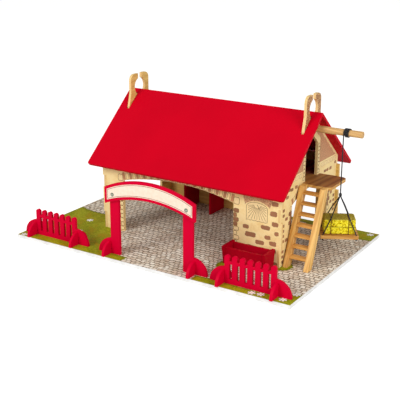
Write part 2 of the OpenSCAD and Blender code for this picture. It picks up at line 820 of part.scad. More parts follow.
// Arched sign: a band between two arcs, with a pale plate let into its face
module sign_2d(border) {
    top_r = arc_r(sign_w, sign_crown_h - sign_end_h);
    low_r = arc_r(sign_w, sign_under_h - sign_low_h);
    difference() {
        intersection() {
            translate([border - sign_w / 2, 0]) square([sign_w - 2 * border, wide]);
            translate([0, sign_crown_h - top_r]) circle(r = top_r - border, $fn = 360);
        }
        translate([0, sign_under_h - low_r]) circle(r = low_r + border, $fn = 360);
    }
}
module gate_sign() {
    color("crimson") difference() {
        translate([gate_x, 0, deck]) xz_plate(sign_y, gate_t) sign_2d(0);
        translate([gate_x, 0, deck]) xz_plate(sign_y - 1, plate_t + 1) sign_2d(sign_border - slot_fit);
        gate_screw_holes();
    }
}
module gate_sign_plate() {
    color("moccasin") difference() {
        translate([gate_x, 0, deck]) xz_plate(sign_y, plate_t) sign_2d(sign_border);
        gate_screw_holes();
    }
}
module gate_screws() {
    color("silver") for (side = [-1, 1])
        translate([gate_x + side * gate_span / 2, sign_y, deck + gate_screw_h]) rotate([-90, 0, 0]) {
            cylinder(r = gate_screw_r, h = gate_t + 3, $fn = 24);
            translate([0, 0, -1.4]) cylinder(r1 = gate_head_r * 0.6, r2 = gate_head_r, h = 1.4, $fn = 32);
        }
}

// Fence panel: round topped pickets on two rails, with a toe at each end
module picket_2d() {
    r = picket_w / 2;
    translate([-r, 0]) square([picket_w, picket_h - r]);
    translate([0, picket_h - r]) circle(r = r, $fn = 32);
}
module fence_2d() {
    difference() {
        union() {
            for (i = [0 : picket_count - 1])
                translate([picket_w / 2 - fence_l / 2 + i * picket_pitch, 0]) picket_2d();
            translate([-fence_l / 2, 0]) square([fence_l, low_rail_h]);
            translate([-fence_l / 2, top_rail_z]) square([fence_l, top_rail_h]);
            for (side = [-1, 1])
                translate([side * (fence_l / 2 - 1), 0])
                    mirror([side < 0 ? 1 : 0, 0]) toe_2d(fence_toe_r + 1);
        }
        for (side = [-1, 1])
            foot_slot_2d(side * (fence_l / 2 + foot_t / 2), foot_r);
    }
}
module fence_panel(x, y) {
    color("crimson") translate([x, 0, deck]) xz_plate(y - fence_t / 2, fence_t) fence_2d();
}
module fence_feet(x, y) {
    color("crimson") for (side = [-1, 1])
        cross_foot(x + side * (fence_l / 2 + foot_t / 2), y, foot_r, fence_t);
}
module fence_left_panel() { fence_panel(fence_left_x, fence_left_y); }
module fence_left_feet() { fence_feet(fence_left_x, fence_left_y); }
module fence_right_panel() { fence_panel(fence_right_x, fence_right_y); }
module fence_right_feet() { fence_feet(fence_right_x, fence_right_y); }

// Stall door: a leaf with a round hinge edge and a round free edge, and its two pins
module stall_door(x) {
    r = leaf_t / 2;
    color("darkred") difference() {
        translate([x, leaf_pin_y, deck + leaf_gap]) linear_extrude(leaf_top - leaf_gap) {
            circle(r = r, $fn = 32);
            translate([-r, r - leaf_l]) square([leaf_t, leaf_l - r]);
            translate([0, r - leaf_l]) circle(r = r, $fn = 32);
        }
        for (z = [deck, deck + leaf_top - leaf_pin_in - 2])
            translate([x, leaf_pin_y, z]) cylinder(r = leaf_pin_r, h = leaf_pin_in + 3, $fn = 32);
    }
}
module door_pins(x) {
    z_low = deck - leaf_pin_in + 0.5;
    z_top = deck + leaf_top - leaf_pin_in - 2;
    color("tan") translate([x, leaf_pin_y, 0]) {
        translate([0, 0, z_low]) cylinder(r = leaf_pin_r, h = 2 * leaf_pin_in + 2.5, $fn = 32);
        translate([0, 0, z_top]) cylinder(r = leaf_pin_r, h = 2 * leaf_pin_in + 2.5, $fn = 32);
    }
}
module stall_door_left() { stall_door(leaf_x[0]); }
module stall_door_right() { stall_door(leaf_x[1]); }
module door_pins_left() { door_pins(leaf_x[0]); }
module door_pins_right() { door_pins(leaf_x[1]); }

base_board();
front_wall();
rear_wall();
gable_left();
gable_right();
front_batten();
rear_batten();
batten_screws();
loft_floor();
loft_platform();
platform_cleat();
cleat_screws();
pole_block();
roof_front();
roof_rear();
hoist_pole();
pole_pin();
cord_winding();
winding_knot();
hoist_cord();
tray_board();
tray_knot();
tray_cords();
tray_stops();
hay_bale();
bale_strings();
ladder_rail_left();
ladder_rail_right();
ladder_rungs();
trough_ends();
trough_front();
trough_back();
trough_bottom();
gate_post_left();
gate_post_right();
gate_foot_left();
gate_foot_right();
gate_sign();
gate_sign_plate();
gate_screws();
fence_left_panel();
fence_left_feet();
fence_right_panel();
fence_right_feet();
stall_door_left();
stall_door_right();
door_pins_left();
door_pins_right();
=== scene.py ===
# %% [markdown]
# Toy barn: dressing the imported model
#
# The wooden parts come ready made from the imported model. This script gives each of them a
# finish, lays the printed stones and ground on them, and models the soft things again:
# cords, knots, twine and the hay bale. Everything is in metres, in the model's own frame,
# with X along the ridge, -Y towards the open front and Z up.

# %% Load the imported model
import math
import bmesh
import bpy
import numpy as np
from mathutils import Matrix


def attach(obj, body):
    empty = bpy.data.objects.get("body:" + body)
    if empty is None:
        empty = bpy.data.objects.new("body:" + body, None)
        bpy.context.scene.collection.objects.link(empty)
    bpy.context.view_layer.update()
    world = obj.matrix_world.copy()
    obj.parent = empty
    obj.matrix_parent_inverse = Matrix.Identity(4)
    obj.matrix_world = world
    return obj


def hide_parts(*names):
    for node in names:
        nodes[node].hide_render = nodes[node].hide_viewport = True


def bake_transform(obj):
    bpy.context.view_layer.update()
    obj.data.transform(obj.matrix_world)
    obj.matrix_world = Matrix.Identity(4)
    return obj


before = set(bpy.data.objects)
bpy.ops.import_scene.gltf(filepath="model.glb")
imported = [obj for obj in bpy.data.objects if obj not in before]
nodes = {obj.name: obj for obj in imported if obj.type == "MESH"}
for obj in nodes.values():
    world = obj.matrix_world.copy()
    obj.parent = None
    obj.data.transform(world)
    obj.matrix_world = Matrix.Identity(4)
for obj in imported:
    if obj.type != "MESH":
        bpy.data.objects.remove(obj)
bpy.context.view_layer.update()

# %% [markdown]
# The print, the finishes and the cords are all laid out from the barn's main lines: where
# the walls stand, how steep the roof is, and where the ground board's top lies. They could
# be measured on the meshes, but plain numbers are easier to read and to change.

# %% Main lines of the barn
MM = 0.001
DECK = 8 * MM
LEFT_X, RIGHT_X = -205 * MM, 241 * MM
FRONT_Y, REAR_Y, RIDGE_Y = -74 * MM, 194 * MM, 60 * MM
WALL_H = 176 * MM
SLOPE = math.tan(math.radians(40.6))
PEAK_H = WALL_H + SLOPE * (REAR_Y - FRONT_Y) / 2
print("gable peak above the deck", round(PEAK_H, 4))

# %% [markdown]
# The camera repeats the photograph's viewpoint. Its focal length and place were found by
# fitting the corners of the board, the walls and the roof. The small shift moves the
# picture's middle to where the lens looked, which a turn of the camera would not do.

# %% Camera
PHOTO_SIDE, FOCAL_PIXELS, SENSOR = 400.0, 886.35, 36.0
LENS_X, LENS_Y = 190.98, 185.87
PITCH, TURN = 0.308, 0.576
camera_data = bpy.data.cameras.new("camera")
camera_data.sensor_width = SENSOR
camera_data.lens = SENSOR * FOCAL_PIXELS / PHOTO_SIDE
camera_data.shift_x = (PHOTO_SIDE / 2 - LENS_X) / PHOTO_SIDE
camera_data.shift_y = (LENS_Y - PHOTO_SIDE / 2) / PHOTO_SIDE
camera_data.clip_end = 20.0
camera = bpy.data.objects.new("camera", camera_data)
camera.location = (0.9972, -1.5663, 0.7123)
camera.rotation_euler = (math.pi / 2 - PITCH, 0.0, TURN)
bpy.context.scene.collection.objects.link(camera)
bpy.context.scene.camera = camera
bpy.context.scene.view_settings.view_transform = "Standard"
print("camera lens", round(camera_data.lens, 2))

# %% [markdown]
# Every new piece starts as an array of points. Blender's own primitives would be quicker
# for a ball or a box, but a formula gives the exact form that the photograph shows. The
# helpers below turn a grid of points, worked out from two parameters, into a mesh.


# %% Points, grids and meshes
def coords(*parts):
    """Points from their coordinates, given as arrays or as numbers that all points share."""
    return np.stack(np.broadcast_arrays(*parts), axis=-1)


def unit(vectors):
    """The same directions with length one."""
    return vectors / np.linalg.norm(vectors, axis=-1, keepdims=True)


def turns(count):
    """Angles that share a full turn evenly among a number of points."""
    return 2 * np.pi * np.arange(count) / count


def circle(angle):
    """Points at the given angles on a circle of radius one."""
    return coords(np.cos(angle), np.sin(angle))


def link_mesh(name, points, faces, smooth=False):
    """An object at the origin from an array of points and a list of faces."""
    mesh = bpy.data.meshes.new(name)
    mesh.from_pydata(np.asarray(points, float).reshape(-1, 3).tolist(), [], faces)
    mesh.validate()
    mesh.polygons.foreach_set("use_smooth", np.full(len(mesh.polygons), smooth))
    mesh.update()
    piece = bpy.data.objects.new(name, mesh)
    bpy.context.scene.collection.objects.link(piece)
    return piece


def grid_quads(rows, columns, close_rows=False):
    """Corner numbers of a grid's quads: (i, j), (i, j+1), (i+1, j+1), (i+1, j)."""
    i = np.arange(rows if close_rows else rows - 1)[:, None] * columns
    j = np.arange(columns - 1)[None, :]
    below = (i + columns) % (rows * columns)
    return coords(i + j, i + j + 1, below + j + 1, below + j).reshape(-1, 4)


def surface(name, points, close_rows=False, smooth=True, uv=None, flip=False):
    """A grid of points, shaped rows x columns x 3, as one mesh. uv has the same rows and
    columns, and gives each corner of a quad the value at its own grid point."""
    quads = grid_quads(*points.shape[:2], close_rows)
    piece = link_mesh(name, points, (quads[:, ::-1] if flip else quads).tolist(), smooth)
    if uv is not None:
        layer = piece.data.uv_layers.new(name="UVMap")
        corner = np.empty(len(piece.data.loops), np.int32)
        piece.data.loops.foreach_get("vertex_index", corner)
        layer.data.foreach_set("uv", uv.reshape(-1, 2)[corner].astype(np.float32).ravel())
    return piece


print("a grid of 4 by 3 points has", len(grid_quads(4, 3)), "quads")

# %% [markdown]
# Cords, knots and twine are tubes. A Blender curve with a bevel would also do, but a mesh
# tube keeps its own coordinates along and round it, and the braid is drawn on those.


# %% Tubes
def curve_frames(path, side, closed):
    """Two unit directions across a path, from its tangents by central differences."""
    if closed:
        tangent = unit(np.roll(path, -1, axis=0) - np.roll(path, 1, axis=0))
    else:
        tangent = unit(np.gradient(path, axis=0))
    across = unit(np.cross(np.broadcast_to(side, tangent.shape), tangent))
    return across, np.cross(tangent, across)


def weld(piece, distance):
    """Joins points that lie on one another, and turns all faces outwards."""
    work = bmesh.new()
    work.from_mesh(piece.data)
    bmesh.ops.remove_doubles(work, verts=work.verts, dist=distance)
    bmesh.ops.recalc_face_normals(work, faces=work.faces)
    work.to_mesh(piece.data)
    work.free()


def tube(name, path, radius, sides=14, side=(0.0, 1.0, 0.0), closed=False):
    """A circle of the given radius carried along the path. V is the length along the path
    in metres, and U the share of a turn round it. The ends of an open tube are closed by
    rings that shrink to the path's end points."""
    path = np.asarray(path, float)
    across, up = curve_frames(path, np.asarray(side, float), closed)
    turn = 2 * np.pi * np.arange(sides + 1) / sides
    ring = np.cos(turn)[None, :, None] * across[:, None] + np.sin(turn)[None, :, None] * up[:, None]
    radii = np.full(len(path), radius)
    if not closed:
        radii = np.concatenate([[1e-6, radius * 0.8], radii, [radius * 0.8, 1e-6]])
        path, ring = (np.concatenate([a[:1], a[:1], a, a[-1:], a[-1:]]) for a in (path, ring))
    step = np.linalg.norm(np.diff(path, axis=0), axis=1)
    uv = coords((turn / (2 * np.pi))[None, :], np.concatenate([[0.0], np.cumsum(step)])[:, None])
    piece = surface(name, path[:, None] + radii[:, None, None] * ring, close_rows=closed, uv=uv)
    weld(piece, radius * 0.02)
    return piece


def path_length(path):
    """Length of a path in metres, as the sum of its steps."""
    return float(np.linalg.norm(np.diff(path, axis=0), axis=1).sum())


print("a step of 3 across and 4 up is", path_length(np.array([[0, 0], [3, 4]])), "long")

# %% [markdown]
# Each finish is a small network of nodes, which follows the object wherever it moves and
# needs no picture. Adding nodes by hand takes three or four lines each, so the class
# below gives them short names, and a finish then reads like a recipe: where to sample,
# which pattern, which colours, what bump.


# %% Nodes with short names
def rgb(red, green, blue):
    """A screen colour, 0 to 255, as the linear colour that Blender works in."""
    share = np.array([red, green, blue]) / 255.0
    linear = np.where(share <= 0.04045, share / 12.92, ((share + 0.055) / 1.055) ** 2.4)
    return (*linear.tolist(), 1.0)


class Network:
    """A tree of nodes. The methods add a node and, apart from node, return its output."""

    def __init__(self, tree):
        self.tree = tree

    def set(self, socket, value):
        """Gives an input a plain value, or links another node's output to it."""
        if isinstance(value, bpy.types.NodeSocket):
            self.tree.links.new(value, socket)
        else:
            socket.default_value = value

    def node(self, kind, inputs=(), **settings):
        """Adds a node with its settings, and sets its inputs by name or number."""
        made = self.tree.nodes.new("ShaderNode" + kind)
        for key, value in settings.items():
            setattr(made, key, value)
        for key, value in dict(inputs).items():
            self.set(made.inputs[key], value)
        return made

    def place(self, scale=(1, 1, 1), turn=(0, 0, 0), shift=(0, 0, 0), source="Object"):
        """Coordinates that are turned and shifted first, and only then squeezed."""
        moved = self.node("Mapping", {"Vector": self.node("TexCoord").outputs[source],
                                      "Rotation": turn, "Location": shift}).outputs["Vector"]
        return self.node("VectorMath", {0: moved, 1: scale}, operation="MULTIPLY").outputs["Vector"]

    def noise(self, where, scale, detail=3.0, rough=0.55, bend=0.0):
        return self.node("TexNoise", {"Vector": where, "Scale": scale, "Detail": detail,
                                      "Roughness": rough, "Distortion": bend}).outputs["Fac"]

    def math(self, kind, first, second=0.0, third=0.0):
        return self.node("Math", {0: first, 1: second, 2: third}, operation=kind).outputs[0]

    def ramp(self, factor, stops):
        """Colours at stated places between 0 and 1, blended in between."""
        made = self.node("ValToRGB", {0: factor})
        while len(made.color_ramp.elements) < len(stops):
            made.color_ramp.elements.new(0.5)
        for element, (position, colour) in zip(made.color_ramp.elements, stops):
            element.position = position
            element.color = colour
        return made.outputs["Color"]

    def mix(self, factor, first, second, kind="MIX"):
        return self.node("Mix", {"Factor": factor, 6: first, 7: second},
                         data_type="RGBA", blend_type=kind).outputs[2]

    def axis(self, vector, name):
        return self.node("SeparateXYZ", {0: vector}).outputs[name]

    def normal(self, name):
        return self.axis(self.node("NewGeometry").outputs["Normal"], name)

    def step(self, value, edge, width):
        """0 below edge, 1 above it, with a soft change over width."""
        return self.node("MapRange", {"Value": value, "From Min": edge - width / 2,
                                      "From Max": edge + width / 2},
                         interpolation_type="SMOOTHSTEP").outputs["Result"]

    def wave(self, value, length, shift=0.0):
        """The sine of a value, with one full turn per length, moved on by shift."""
        return self.math("SINE", self.math("MULTIPLY_ADD", value, 2 * math.pi / length, shift))


print("mid grey on the screen is", round(rgb(128, 128, 128)[0], 3), "in linear light")

# %% [markdown]
# A finish is a material with such a network in front of it. Blender's Principled shader
# takes many inputs, but paint, wood, card and cord need only four of them: a base colour, a
# bump that tilts the light on the surface, a roughness that may vary, and how glossy it is.


# %% Finishes
class Finish(Network):
    """One material, with its colour, bump and shine fed from the network."""

    def __init__(self, name, roughness=0.5, metallic=0.0, gloss=0.2):
        self.material = bpy.data.materials.new(name)
        self.material.use_nodes = True
        super().__init__(self.material.node_tree)
        self.shader = self.tree.nodes["Principled BSDF"]
        for key, value in {"Roughness": roughness, "Metallic": metallic,
                           "Specular IOR Level": gloss}.items():
            self.shader.inputs[key].default_value = value

    def colour(self, value):
        self.set(self.shader.inputs["Base Color"], value)

    def bump(self, height, strength, depth):
        made = self.node("Bump", {"Strength": strength, "Distance": depth, "Height": height})
        self.set(self.shader.inputs["Normal"], made.outputs["Normal"])

    def shine(self, value, low, high):
        """Roughness that varies from low to high with a pattern."""
        made = self.node("MapRange", {"Value": value, "To Min": low, "To Max": high})
        self.set(self.shader.inputs["Roughness"], made.outputs["Result"])


def dress(material, *names):
    """Gives a material to CAD nodes by name."""
    for name in names:
        nodes[name].data.materials.clear()
        nodes[name].data.materials.append(material)


print("CAD pieces to dress", len(nodes))

# %% [markdown]
# Lacquered wood is used for the ladder, the hoist, the tray and the loft's battens. Real
# timber shows growth rings as wavy bands, and fine pores as short dashes along the grain.
# A photograph of wood would need unwrapping on every part. Noise that is squeezed along
# the grain needs none, and its direction is one rotation.

# %% Timber finish
GOLD_LIGHT, GOLD_DARK = rgb(246, 200, 118), rgb(196, 134, 54)
PALE_LIGHT, PALE_DARK = rgb(240, 206, 128), rgb(206, 160, 78)


def timber(name, light, dark, turn=(0, 0, 0), ring=0.011, natural_edge=False):
    """Wood whose grain runs along X after the given turn; ring is the width of a band."""
    wood = Finish(name, 0.46, gloss=0.3)
    grain = wood.place(scale=(0.1, 1, 1), turn=turn)
    fibres = wood.place(scale=(0.05, 1, 1), turn=turn, shift=(0.3, 0.1, 0.7))
    rings = wood.node("TexWave", {"Vector": grain, "Scale": 0.5 / ring, "Distortion": 4.0,
                                  "Detail": 2.0, "Detail Scale": 1.4},
                      bands_direction="DIAGONAL").outputs["Fac"]
    broad = wood.noise(grain, 28, detail=2)
    pores = wood.noise(fibres, 950, detail=2, rough=0.7)
    tone = wood.math("MULTIPLY_ADD", rings, 0.35, wood.math("MULTIPLY", broad, 0.75))
    tone = wood.math("MULTIPLY_ADD", pores, 0.28, wood.math("SUBTRACT", tone, 0.18))
    mid = tuple(0.55 * a + 0.45 * b for a, b in zip(light, dark))
    body = wood.ramp(tone, [(0.18, dark), (0.5, mid), (0.82, light)])
    if natural_edge:
        face = wood.step(wood.math("ABSOLUTE", wood.normal("Z")), 0.5, 0.1)
        body = wood.mix(face, wood.ramp(tone, [(0.2, GOLD_DARK), (0.8, PALE_LIGHT)]), body)
    wood.colour(body)
    wood.bump(wood.math("ADD", pores, wood.math("MULTIPLY", rings, 0.3)), 0.22, 0.0002)
    wood.shine(pores, 0.4, 0.6)
    return wood.material


upright, along_y, lean = (0, math.pi / 2, 0), (0, 0, -math.pi / 2), math.atan2(64, 156.5)
TRAY_TURN = math.radians(29)
dress(timber("timber_along_x", GOLD_LIGHT, GOLD_DARK),
      "front_batten", "rear_batten", "platform_cleat", "pole_block")
dress(timber("timber_pole", rgb(222, 178, 114), rgb(172, 126, 74), ring=0.006), "hoist_pole")
dress(timber("timber_rail", GOLD_LIGHT, GOLD_DARK, turn=(lean, math.pi / 2, 0), ring=0.009),
      "ladder_rail_left", "ladder_rail_right")
dress(timber("timber_tread", rgb(230, 176, 96), GOLD_DARK, ring=0.007), "ladder_rungs")
dress(timber("timber_tray", rgb(230, 176, 94), rgb(180, 120, 48), turn=(0, 0, -TRAY_TURN)),
      "tray_board")
dress(timber("timber_peg", PALE_LIGHT, PALE_DARK, turn=upright, ring=0.006),
      "pole_pin", "door_pins_left", "door_pins_right")
dress(timber("stain_loft", rgb(166, 88, 60), rgb(104, 46, 32), turn=along_y, ring=0.014),
      "loft_floor")
dress(timber("stain_platform", rgb(184, 124, 62), rgb(124, 70, 30), turn=along_y, ring=0.014,
             natural_edge=True), "loft_platform")
print("timber finishes made", len(bpy.data.materials))

# %% [markdown]
# The roof, gate, fences, trough and stall doors are sprayed. One plain colour would look
# like plastic. Paint on plywood is even, but it takes a faint orange peel, the odd darker
# drift and small scuffs, so three noises of different sizes stand for these.


# %% Paint finish
def paint(name, colour, scuff, roughness=0.42):
    """Satin paint: slow drifts of tone, a fine orange peel and rare pale scuffs."""
    coat = Finish(name, roughness, gloss=0.03)
    where = coat.place()
    drift = coat.noise(where, 9, detail=2)
    peel = coat.noise(where, 1040, detail=2)
    scratch = coat.noise(coat.place(scale=(1, 1, 3)), 120, detail=6, rough=0.75)
    deep = tuple(c * 0.93 for c in colour[:3]) + (1.0,)
    body = coat.mix(coat.step(drift, 0.5, 0.5), deep, colour)
    coat.colour(coat.mix(coat.math("MULTIPLY", coat.step(scratch, 0.72, 0.05), 0.35), body, scuff))
    coat.bump(peel, 0.12, 0.0002)
    coat.shine(drift, roughness - 0.05, roughness + 0.1)
    return coat.material


dress(paint("paint_roof", rgb(206, 0, 30), rgb(220, 30, 54)), "roof_front", "roof_rear")
dress(paint("paint_gate", rgb(214, 0, 48), rgb(230, 50, 82), roughness=0.38),
      "gate_post_left", "gate_post_right", "gate_foot_left", "gate_foot_right", "gate_sign",
      "fence_left_panel", "fence_left_feet", "fence_right_panel", "fence_right_feet")
dress(paint("paint_dark", rgb(172, 2, 28), rgb(194, 40, 56)),
      "trough_ends", "trough_front", "trough_back", "trough_bottom",
      "stall_door_left", "stall_door_right")
print("finishes so far", len(bpy.data.materials))

# %% [markdown]
# The walls are birch plywood, printed on the outside and bare inside. Three materials on
# each wall would need its faces sorted by hand. Here one finish covers them: the direction
# that a face looks in decides between print, bare face and the striped edge of the plies,
# and above the slope of the roof the print turns to mottled terracotta.


# %% Wall finish
def wall_finish(name, axis, sign, above_slope=False):
    """axis and sign say which way the printed face looks, such as "Y" and -1."""
    wall = Finish(name, 0.55)
    where = wall.place()
    facing = wall.math("MULTIPLY", wall.normal(axis), sign)
    outside = wall.step(facing, 0.5, 0.1)
    edge = wall.math("SUBTRACT", 1.0, wall.step(wall.math("ABSOLUTE", facing), 0.5, 0.1))
    mottle = wall.noise(where, 60, detail=5, rough=0.65)
    speck = wall.noise(where, 900, detail=2)
    print_tone = wall.math("MULTIPLY_ADD", speck, 0.35, wall.math("MULTIPLY", mottle, 0.65))
    cream = wall.ramp(print_tone, [(0.28, rgb(234, 198, 128)), (0.5, rgb(250, 224, 160)),
                                   (0.75, rgb(255, 238, 186))])
    long_grain = wall.place(scale=(0.1, 0.1, 1) if axis == "Y" else (1, 0.1, 1))
    face_grain = wall.noise(long_grain, 150, detail=4, rough=0.6, bend=0.4)
    bare = wall.ramp(face_grain, [(0.3, rgb(202, 158, 78)), (0.7, rgb(238, 204, 122))])
    layers = wall.wave(wall.axis(where, axis), 2.4 * MM)
    ply_edge = wall.mix(wall.step(layers, 0.0, 0.8), rgb(212, 164, 92), rgb(252, 228, 166))
    if above_slope:
        drop = wall.math("ABSOLUTE", wall.math("SUBTRACT", wall.axis(where, "Y"), RIDGE_Y))
        rise = wall.math("MULTIPLY_ADD", drop, SLOPE, wall.axis(where, "Z"))
        horn = wall.step(rise, DECK + PEAK_H + 2 * MM, 0.5 * MM)
        spots = wall.noise(where, 420, detail=3, rough=0.6)
        clay = wall.ramp(spots, [(0.36, rgb(126, 80, 48)), (0.5, rgb(176, 126, 82)),
                                 (0.64, rgb(232, 190, 130))])
        cream = wall.mix(horn, cream, clay)
    wall.colour(wall.mix(edge, wall.mix(outside, bare, cream), ply_edge))
    wall.bump(face_grain, 0.15, 0.0002)
    wall.shine(mottle, 0.46, 0.62)
    return wall.material


dress(wall_finish("wall_front", "Y", -1), "front_wall")
dress(wall_finish("wall_rear", "Y", 1), "rear_wall")
dress(wall_finish("wall_left", "X", -1, above_slope=True), "gable_left")
dress(wall_finish("wall_right", "X", 1, above_slope=True), "gable_right")
print("finishes so far", len(bpy.data.materials))

# %% [markdown]
# Three small finishes follow. The sign's plate is a cream card with a bare middle. The
# screws are zinc that has gone dull, with fine turning marks from stretched noise. The
# ground board is white on its edges, where faint stripes show the plies.

# %% Plate, screws and board
card = Finish("sign_card", 0.5)
card_tone = card.noise(card.place(), 140, detail=4)
card.colour(card.ramp(card_tone, [(0.3, rgb(242, 218, 194)), (0.7, rgb(250, 232, 212))]))
card.bump(card_tone, 0.05, 0.0001)
dress(card.material, "gate_sign_plate")

zinc = Finish("zinc", 0.3, metallic=1.0, gloss=0.5)
turning = zinc.noise(zinc.place(scale=(1, 40, 1)), 400, detail=3)
zinc.colour(zinc.ramp(turning, [(0.3, rgb(128, 134, 120)), (0.7, rgb(176, 180, 162))]))
zinc.shine(turning, 0.22, 0.42)
dress(zinc.material, "batten_screws", "cleat_screws", "gate_screws")

board = Finish("board_white", 0.45)
board_spot = board.place()
plies = board.wave(board.axis(board_spot, "Z"), 2.6 * MM)
board_tone = board.math("MULTIPLY_ADD", plies, 0.12, board.noise(board_spot, 45, detail=4))
board.colour(board.ramp(board_tone, [(0.3, rgb(226, 226, 224)), (0.6, rgb(246, 246, 244))]))
board.bump(board_tone, 0.1, 0.0002)
dress(board.material, "base_board")
print("finishes so far", len(bpy.data.materials))

# %% [markdown]
# The ground is a printed sheet on the board. Its border between grass and cobbles could be
# drawn as a picture, but here a lawn map is worked out: a number at each grid point that is
# positive on grass and negative on cobbles, in metres from the border. The finish then
# draws the border itself, with ragged blades, however coarse the grid.

# %% Printed ground
BOARD_L, BOARD_W, MARGIN, GROUND_STEP = 680 * MM, 440 * MM, 0.6 * MM, 4 * MM
INK_LIFT = 0.12 * MM
sides = [np.linspace(MARGIN - size / 2, size / 2 - MARGIN, int(size / GROUND_STEP) + 1)
         for size in (BOARD_L, BOARD_W)]
gx, gy = np.meshgrid(*sides, indexing="ij")


def blob(x, y, width, depth):
    """Positive inside an ellipse round (x, y), in metres from its edge, roughly."""
    reach = np.hypot((gx - x) / width, (gy - y) / depth)
    return (1 - reach) * min(width, depth)


wave = 5 * MM * np.sin(gx * 47) + 3 * MM * np.sin(gy * 83 + gx * 31)
meadow = np.min([0.004 - gy - 0.13 * (gx + 0.34), -0.83 * (gx + 0.15) - 0.557 * (gy + 0.105),
                 -0.774 * (gx + 0.087) - 0.633 * (gy + 0.182)], axis=0) + wave
far_meadow = np.minimum(-0.214 - gx, gy - 0.152) + wave
front_left = np.minimum(-0.196 - gy, -0.05 - gx) + wave * 0.4
front_right = np.minimum(-0.196 - gy, gx - 0.118) + wave * 0.4
right_corner = -(gy + 0.215) * 0.9 + (gx - 0.262) * 0.62 + wave * 0.5 - 4 * MM
back_right = np.minimum(gy - 0.166 + wave, gx - 0.215)
back_strip = gy - 0.203 + wave * 0.5
tufts = [blob(0.243, -0.062, 0.021, 0.024), blob(0.135, -0.118, 0.013, 0.021),
         blob(0.196, 0.206, 0.03, 0.02)]
lawn = np.max([meadow, far_meadow, front_left, front_right, np.minimum(right_corner, gx - 0.29),
               back_right, back_strip, *tufts], axis=0)
ground = surface("ground_print", coords(gx, gy, DECK + INK_LIFT), smooth=False, flip=True)
lawn_map = ground.data.attributes.new("lawn", "FLOAT", "POINT")
lawn_map.data.foreach_set("value", lawn.astype(np.float32).ravel())
print("share of grass", round(float((lawn > 0).mean()), 3))

# %% [markdown]
# The print shows short grass with yellowed patches, and rows of pale, crooked cobbles. A
# cell pattern would scatter the cobbles too freely, so they are a brick pattern whose
# coordinates a noise shakes: the rows stay, and every joint bends.

# %% Ground finish
yard = Finish("ground_finish", 0.6, gloss=0.05)
spot = yard.place()
blades = yard.noise(yard.place(scale=(1, 0.35, 1)), 520, detail=3, rough=0.7)
patches = yard.noise(spot, 22, detail=3)
grass_tone = yard.math("MULTIPLY_ADD", blades, 0.75, yard.math("MULTIPLY", patches, 0.3))
grass = yard.ramp(grass_tone, [(0.32, rgb(92, 98, 4)), (0.5, rgb(146, 150, 16)),
                               (0.68, rgb(188, 184, 48))])
dry = yard.step(yard.noise(spot, 48, detail=4, rough=0.7), 0.56, 0.16)
grass = yard.mix(yard.math("MULTIPLY", dry, 0.55), grass, rgb(176, 138, 16))
wobble = yard.node("TexNoise", {"Vector": spot, "Scale": 62}).outputs["Color"]
shake = yard.node("VectorMath", {0: wobble, 1: (0.014, 0.011, 0.0), 2: spot},
                  operation="MULTIPLY_ADD").outputs["Vector"]
stones = yard.node("TexBrick", {
    "Vector": shake, "Color1": rgb(255, 250, 238), "Color2": rgb(222, 206, 186),
    "Mortar": rgb(124, 100, 76), "Scale": 1.0, "Mortar Size": 0.0012, "Mortar Smooth": 0.5,
    "Brick Width": 0.0116, "Row Height": 0.0102}, offset=0.5).outputs["Color"]
grit = yard.noise(spot, 700, detail=3, rough=0.7)
grit_tone = yard.ramp(grit, [(0.32, rgb(150, 126, 102)), (0.48, rgb(250, 246, 238)),
                             (0.7, rgb(255, 255, 252))])
cobble = yard.mix(0.5, stones, grit_tone, "MULTIPLY")
lawn_value = yard.node("Attribute", attribute_name="lawn").outputs["Fac"]
ragged = yard.math("MULTIPLY_ADD", yard.math("SUBTRACT", blades, 0.5), 0.012, lawn_value)
on_grass = yard.step(ragged, 0.0, 0.0012)
rim = yard.math("MULTIPLY", yard.math("SUBTRACT", 1.0, yard.step(ragged, 0.006, 0.008)), on_grass)
grass = yard.mix(yard.math("MULTIPLY", rim, 0.45), grass, rgb(64, 84, 8))
yard.colour(yard.mix(on_grass, cobble, grass))
yard.bump(grit, 0.06, 0.0001)
ground.data.materials.append(yard.material)
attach(ground, "barn")
print("nodes in the ground's finish", len(yard.tree.nodes))

# %% [markdown]
# The stones, bricks and dots on the walls are separate prints on the real toy's paper. They
# could be one more pattern in the wall's finish, but each has a place that matters. So they
# are flat shapes a tenth of a millimetre proud of the wood, and a seeded draw makes every
# outline a little uneven, as if drawn by hand.

# %% Outlines
ink_draw = np.random.default_rng(41)
CORNERS = 16


def rounded_outline(centres, widths, heights, wobble_size, turn=None):
    """Outlines of rounded rectangles: a superellipse |x|^7 + |y|^7 = 1 sampled at 16
    angles, each point moved a little at random."""
    way = circle(turns(CORNERS) + np.pi / CORNERS)
    shape = way * (np.abs(way) ** 7).sum(axis=-1, keepdims=True) ** (-1 / 7)
    half = np.atleast_2d(coords(widths, heights))[:, None] / 2
    points = shape * half + ink_draw.normal(0, wobble_size, (len(centres), CORNERS, 2))
    if turn is not None:
        c, s = np.cos(turn)[:, None], np.sin(turn)[:, None]
        points = coords(points[..., 0] * c - points[..., 1] * s,
                        points[..., 0] * s + points[..., 1] * c)
    return centres[:, None] + points


def strokes(starts, ends, width):
    """Each line as a thin four cornered strip."""
    starts, ends = np.asarray(starts, float), np.asarray(ends, float)
    along = unit(ends - starts)
    across = coords(-along[:, 1], along[:, 0]) * width / 2
    return np.stack([starts - across, ends - across, ends + across, starts + across], axis=1)


print("a stroke has", strokes([(0, 0)], [(1, 0)], 0.1).shape[1], "corners")

# %% [markdown]
# All shapes on one wall become one piece, because hundreds of small objects would be slow
# and hard to find. Each corner carries its colour, and a share that says how strongly the
# speckles of the print show in it.

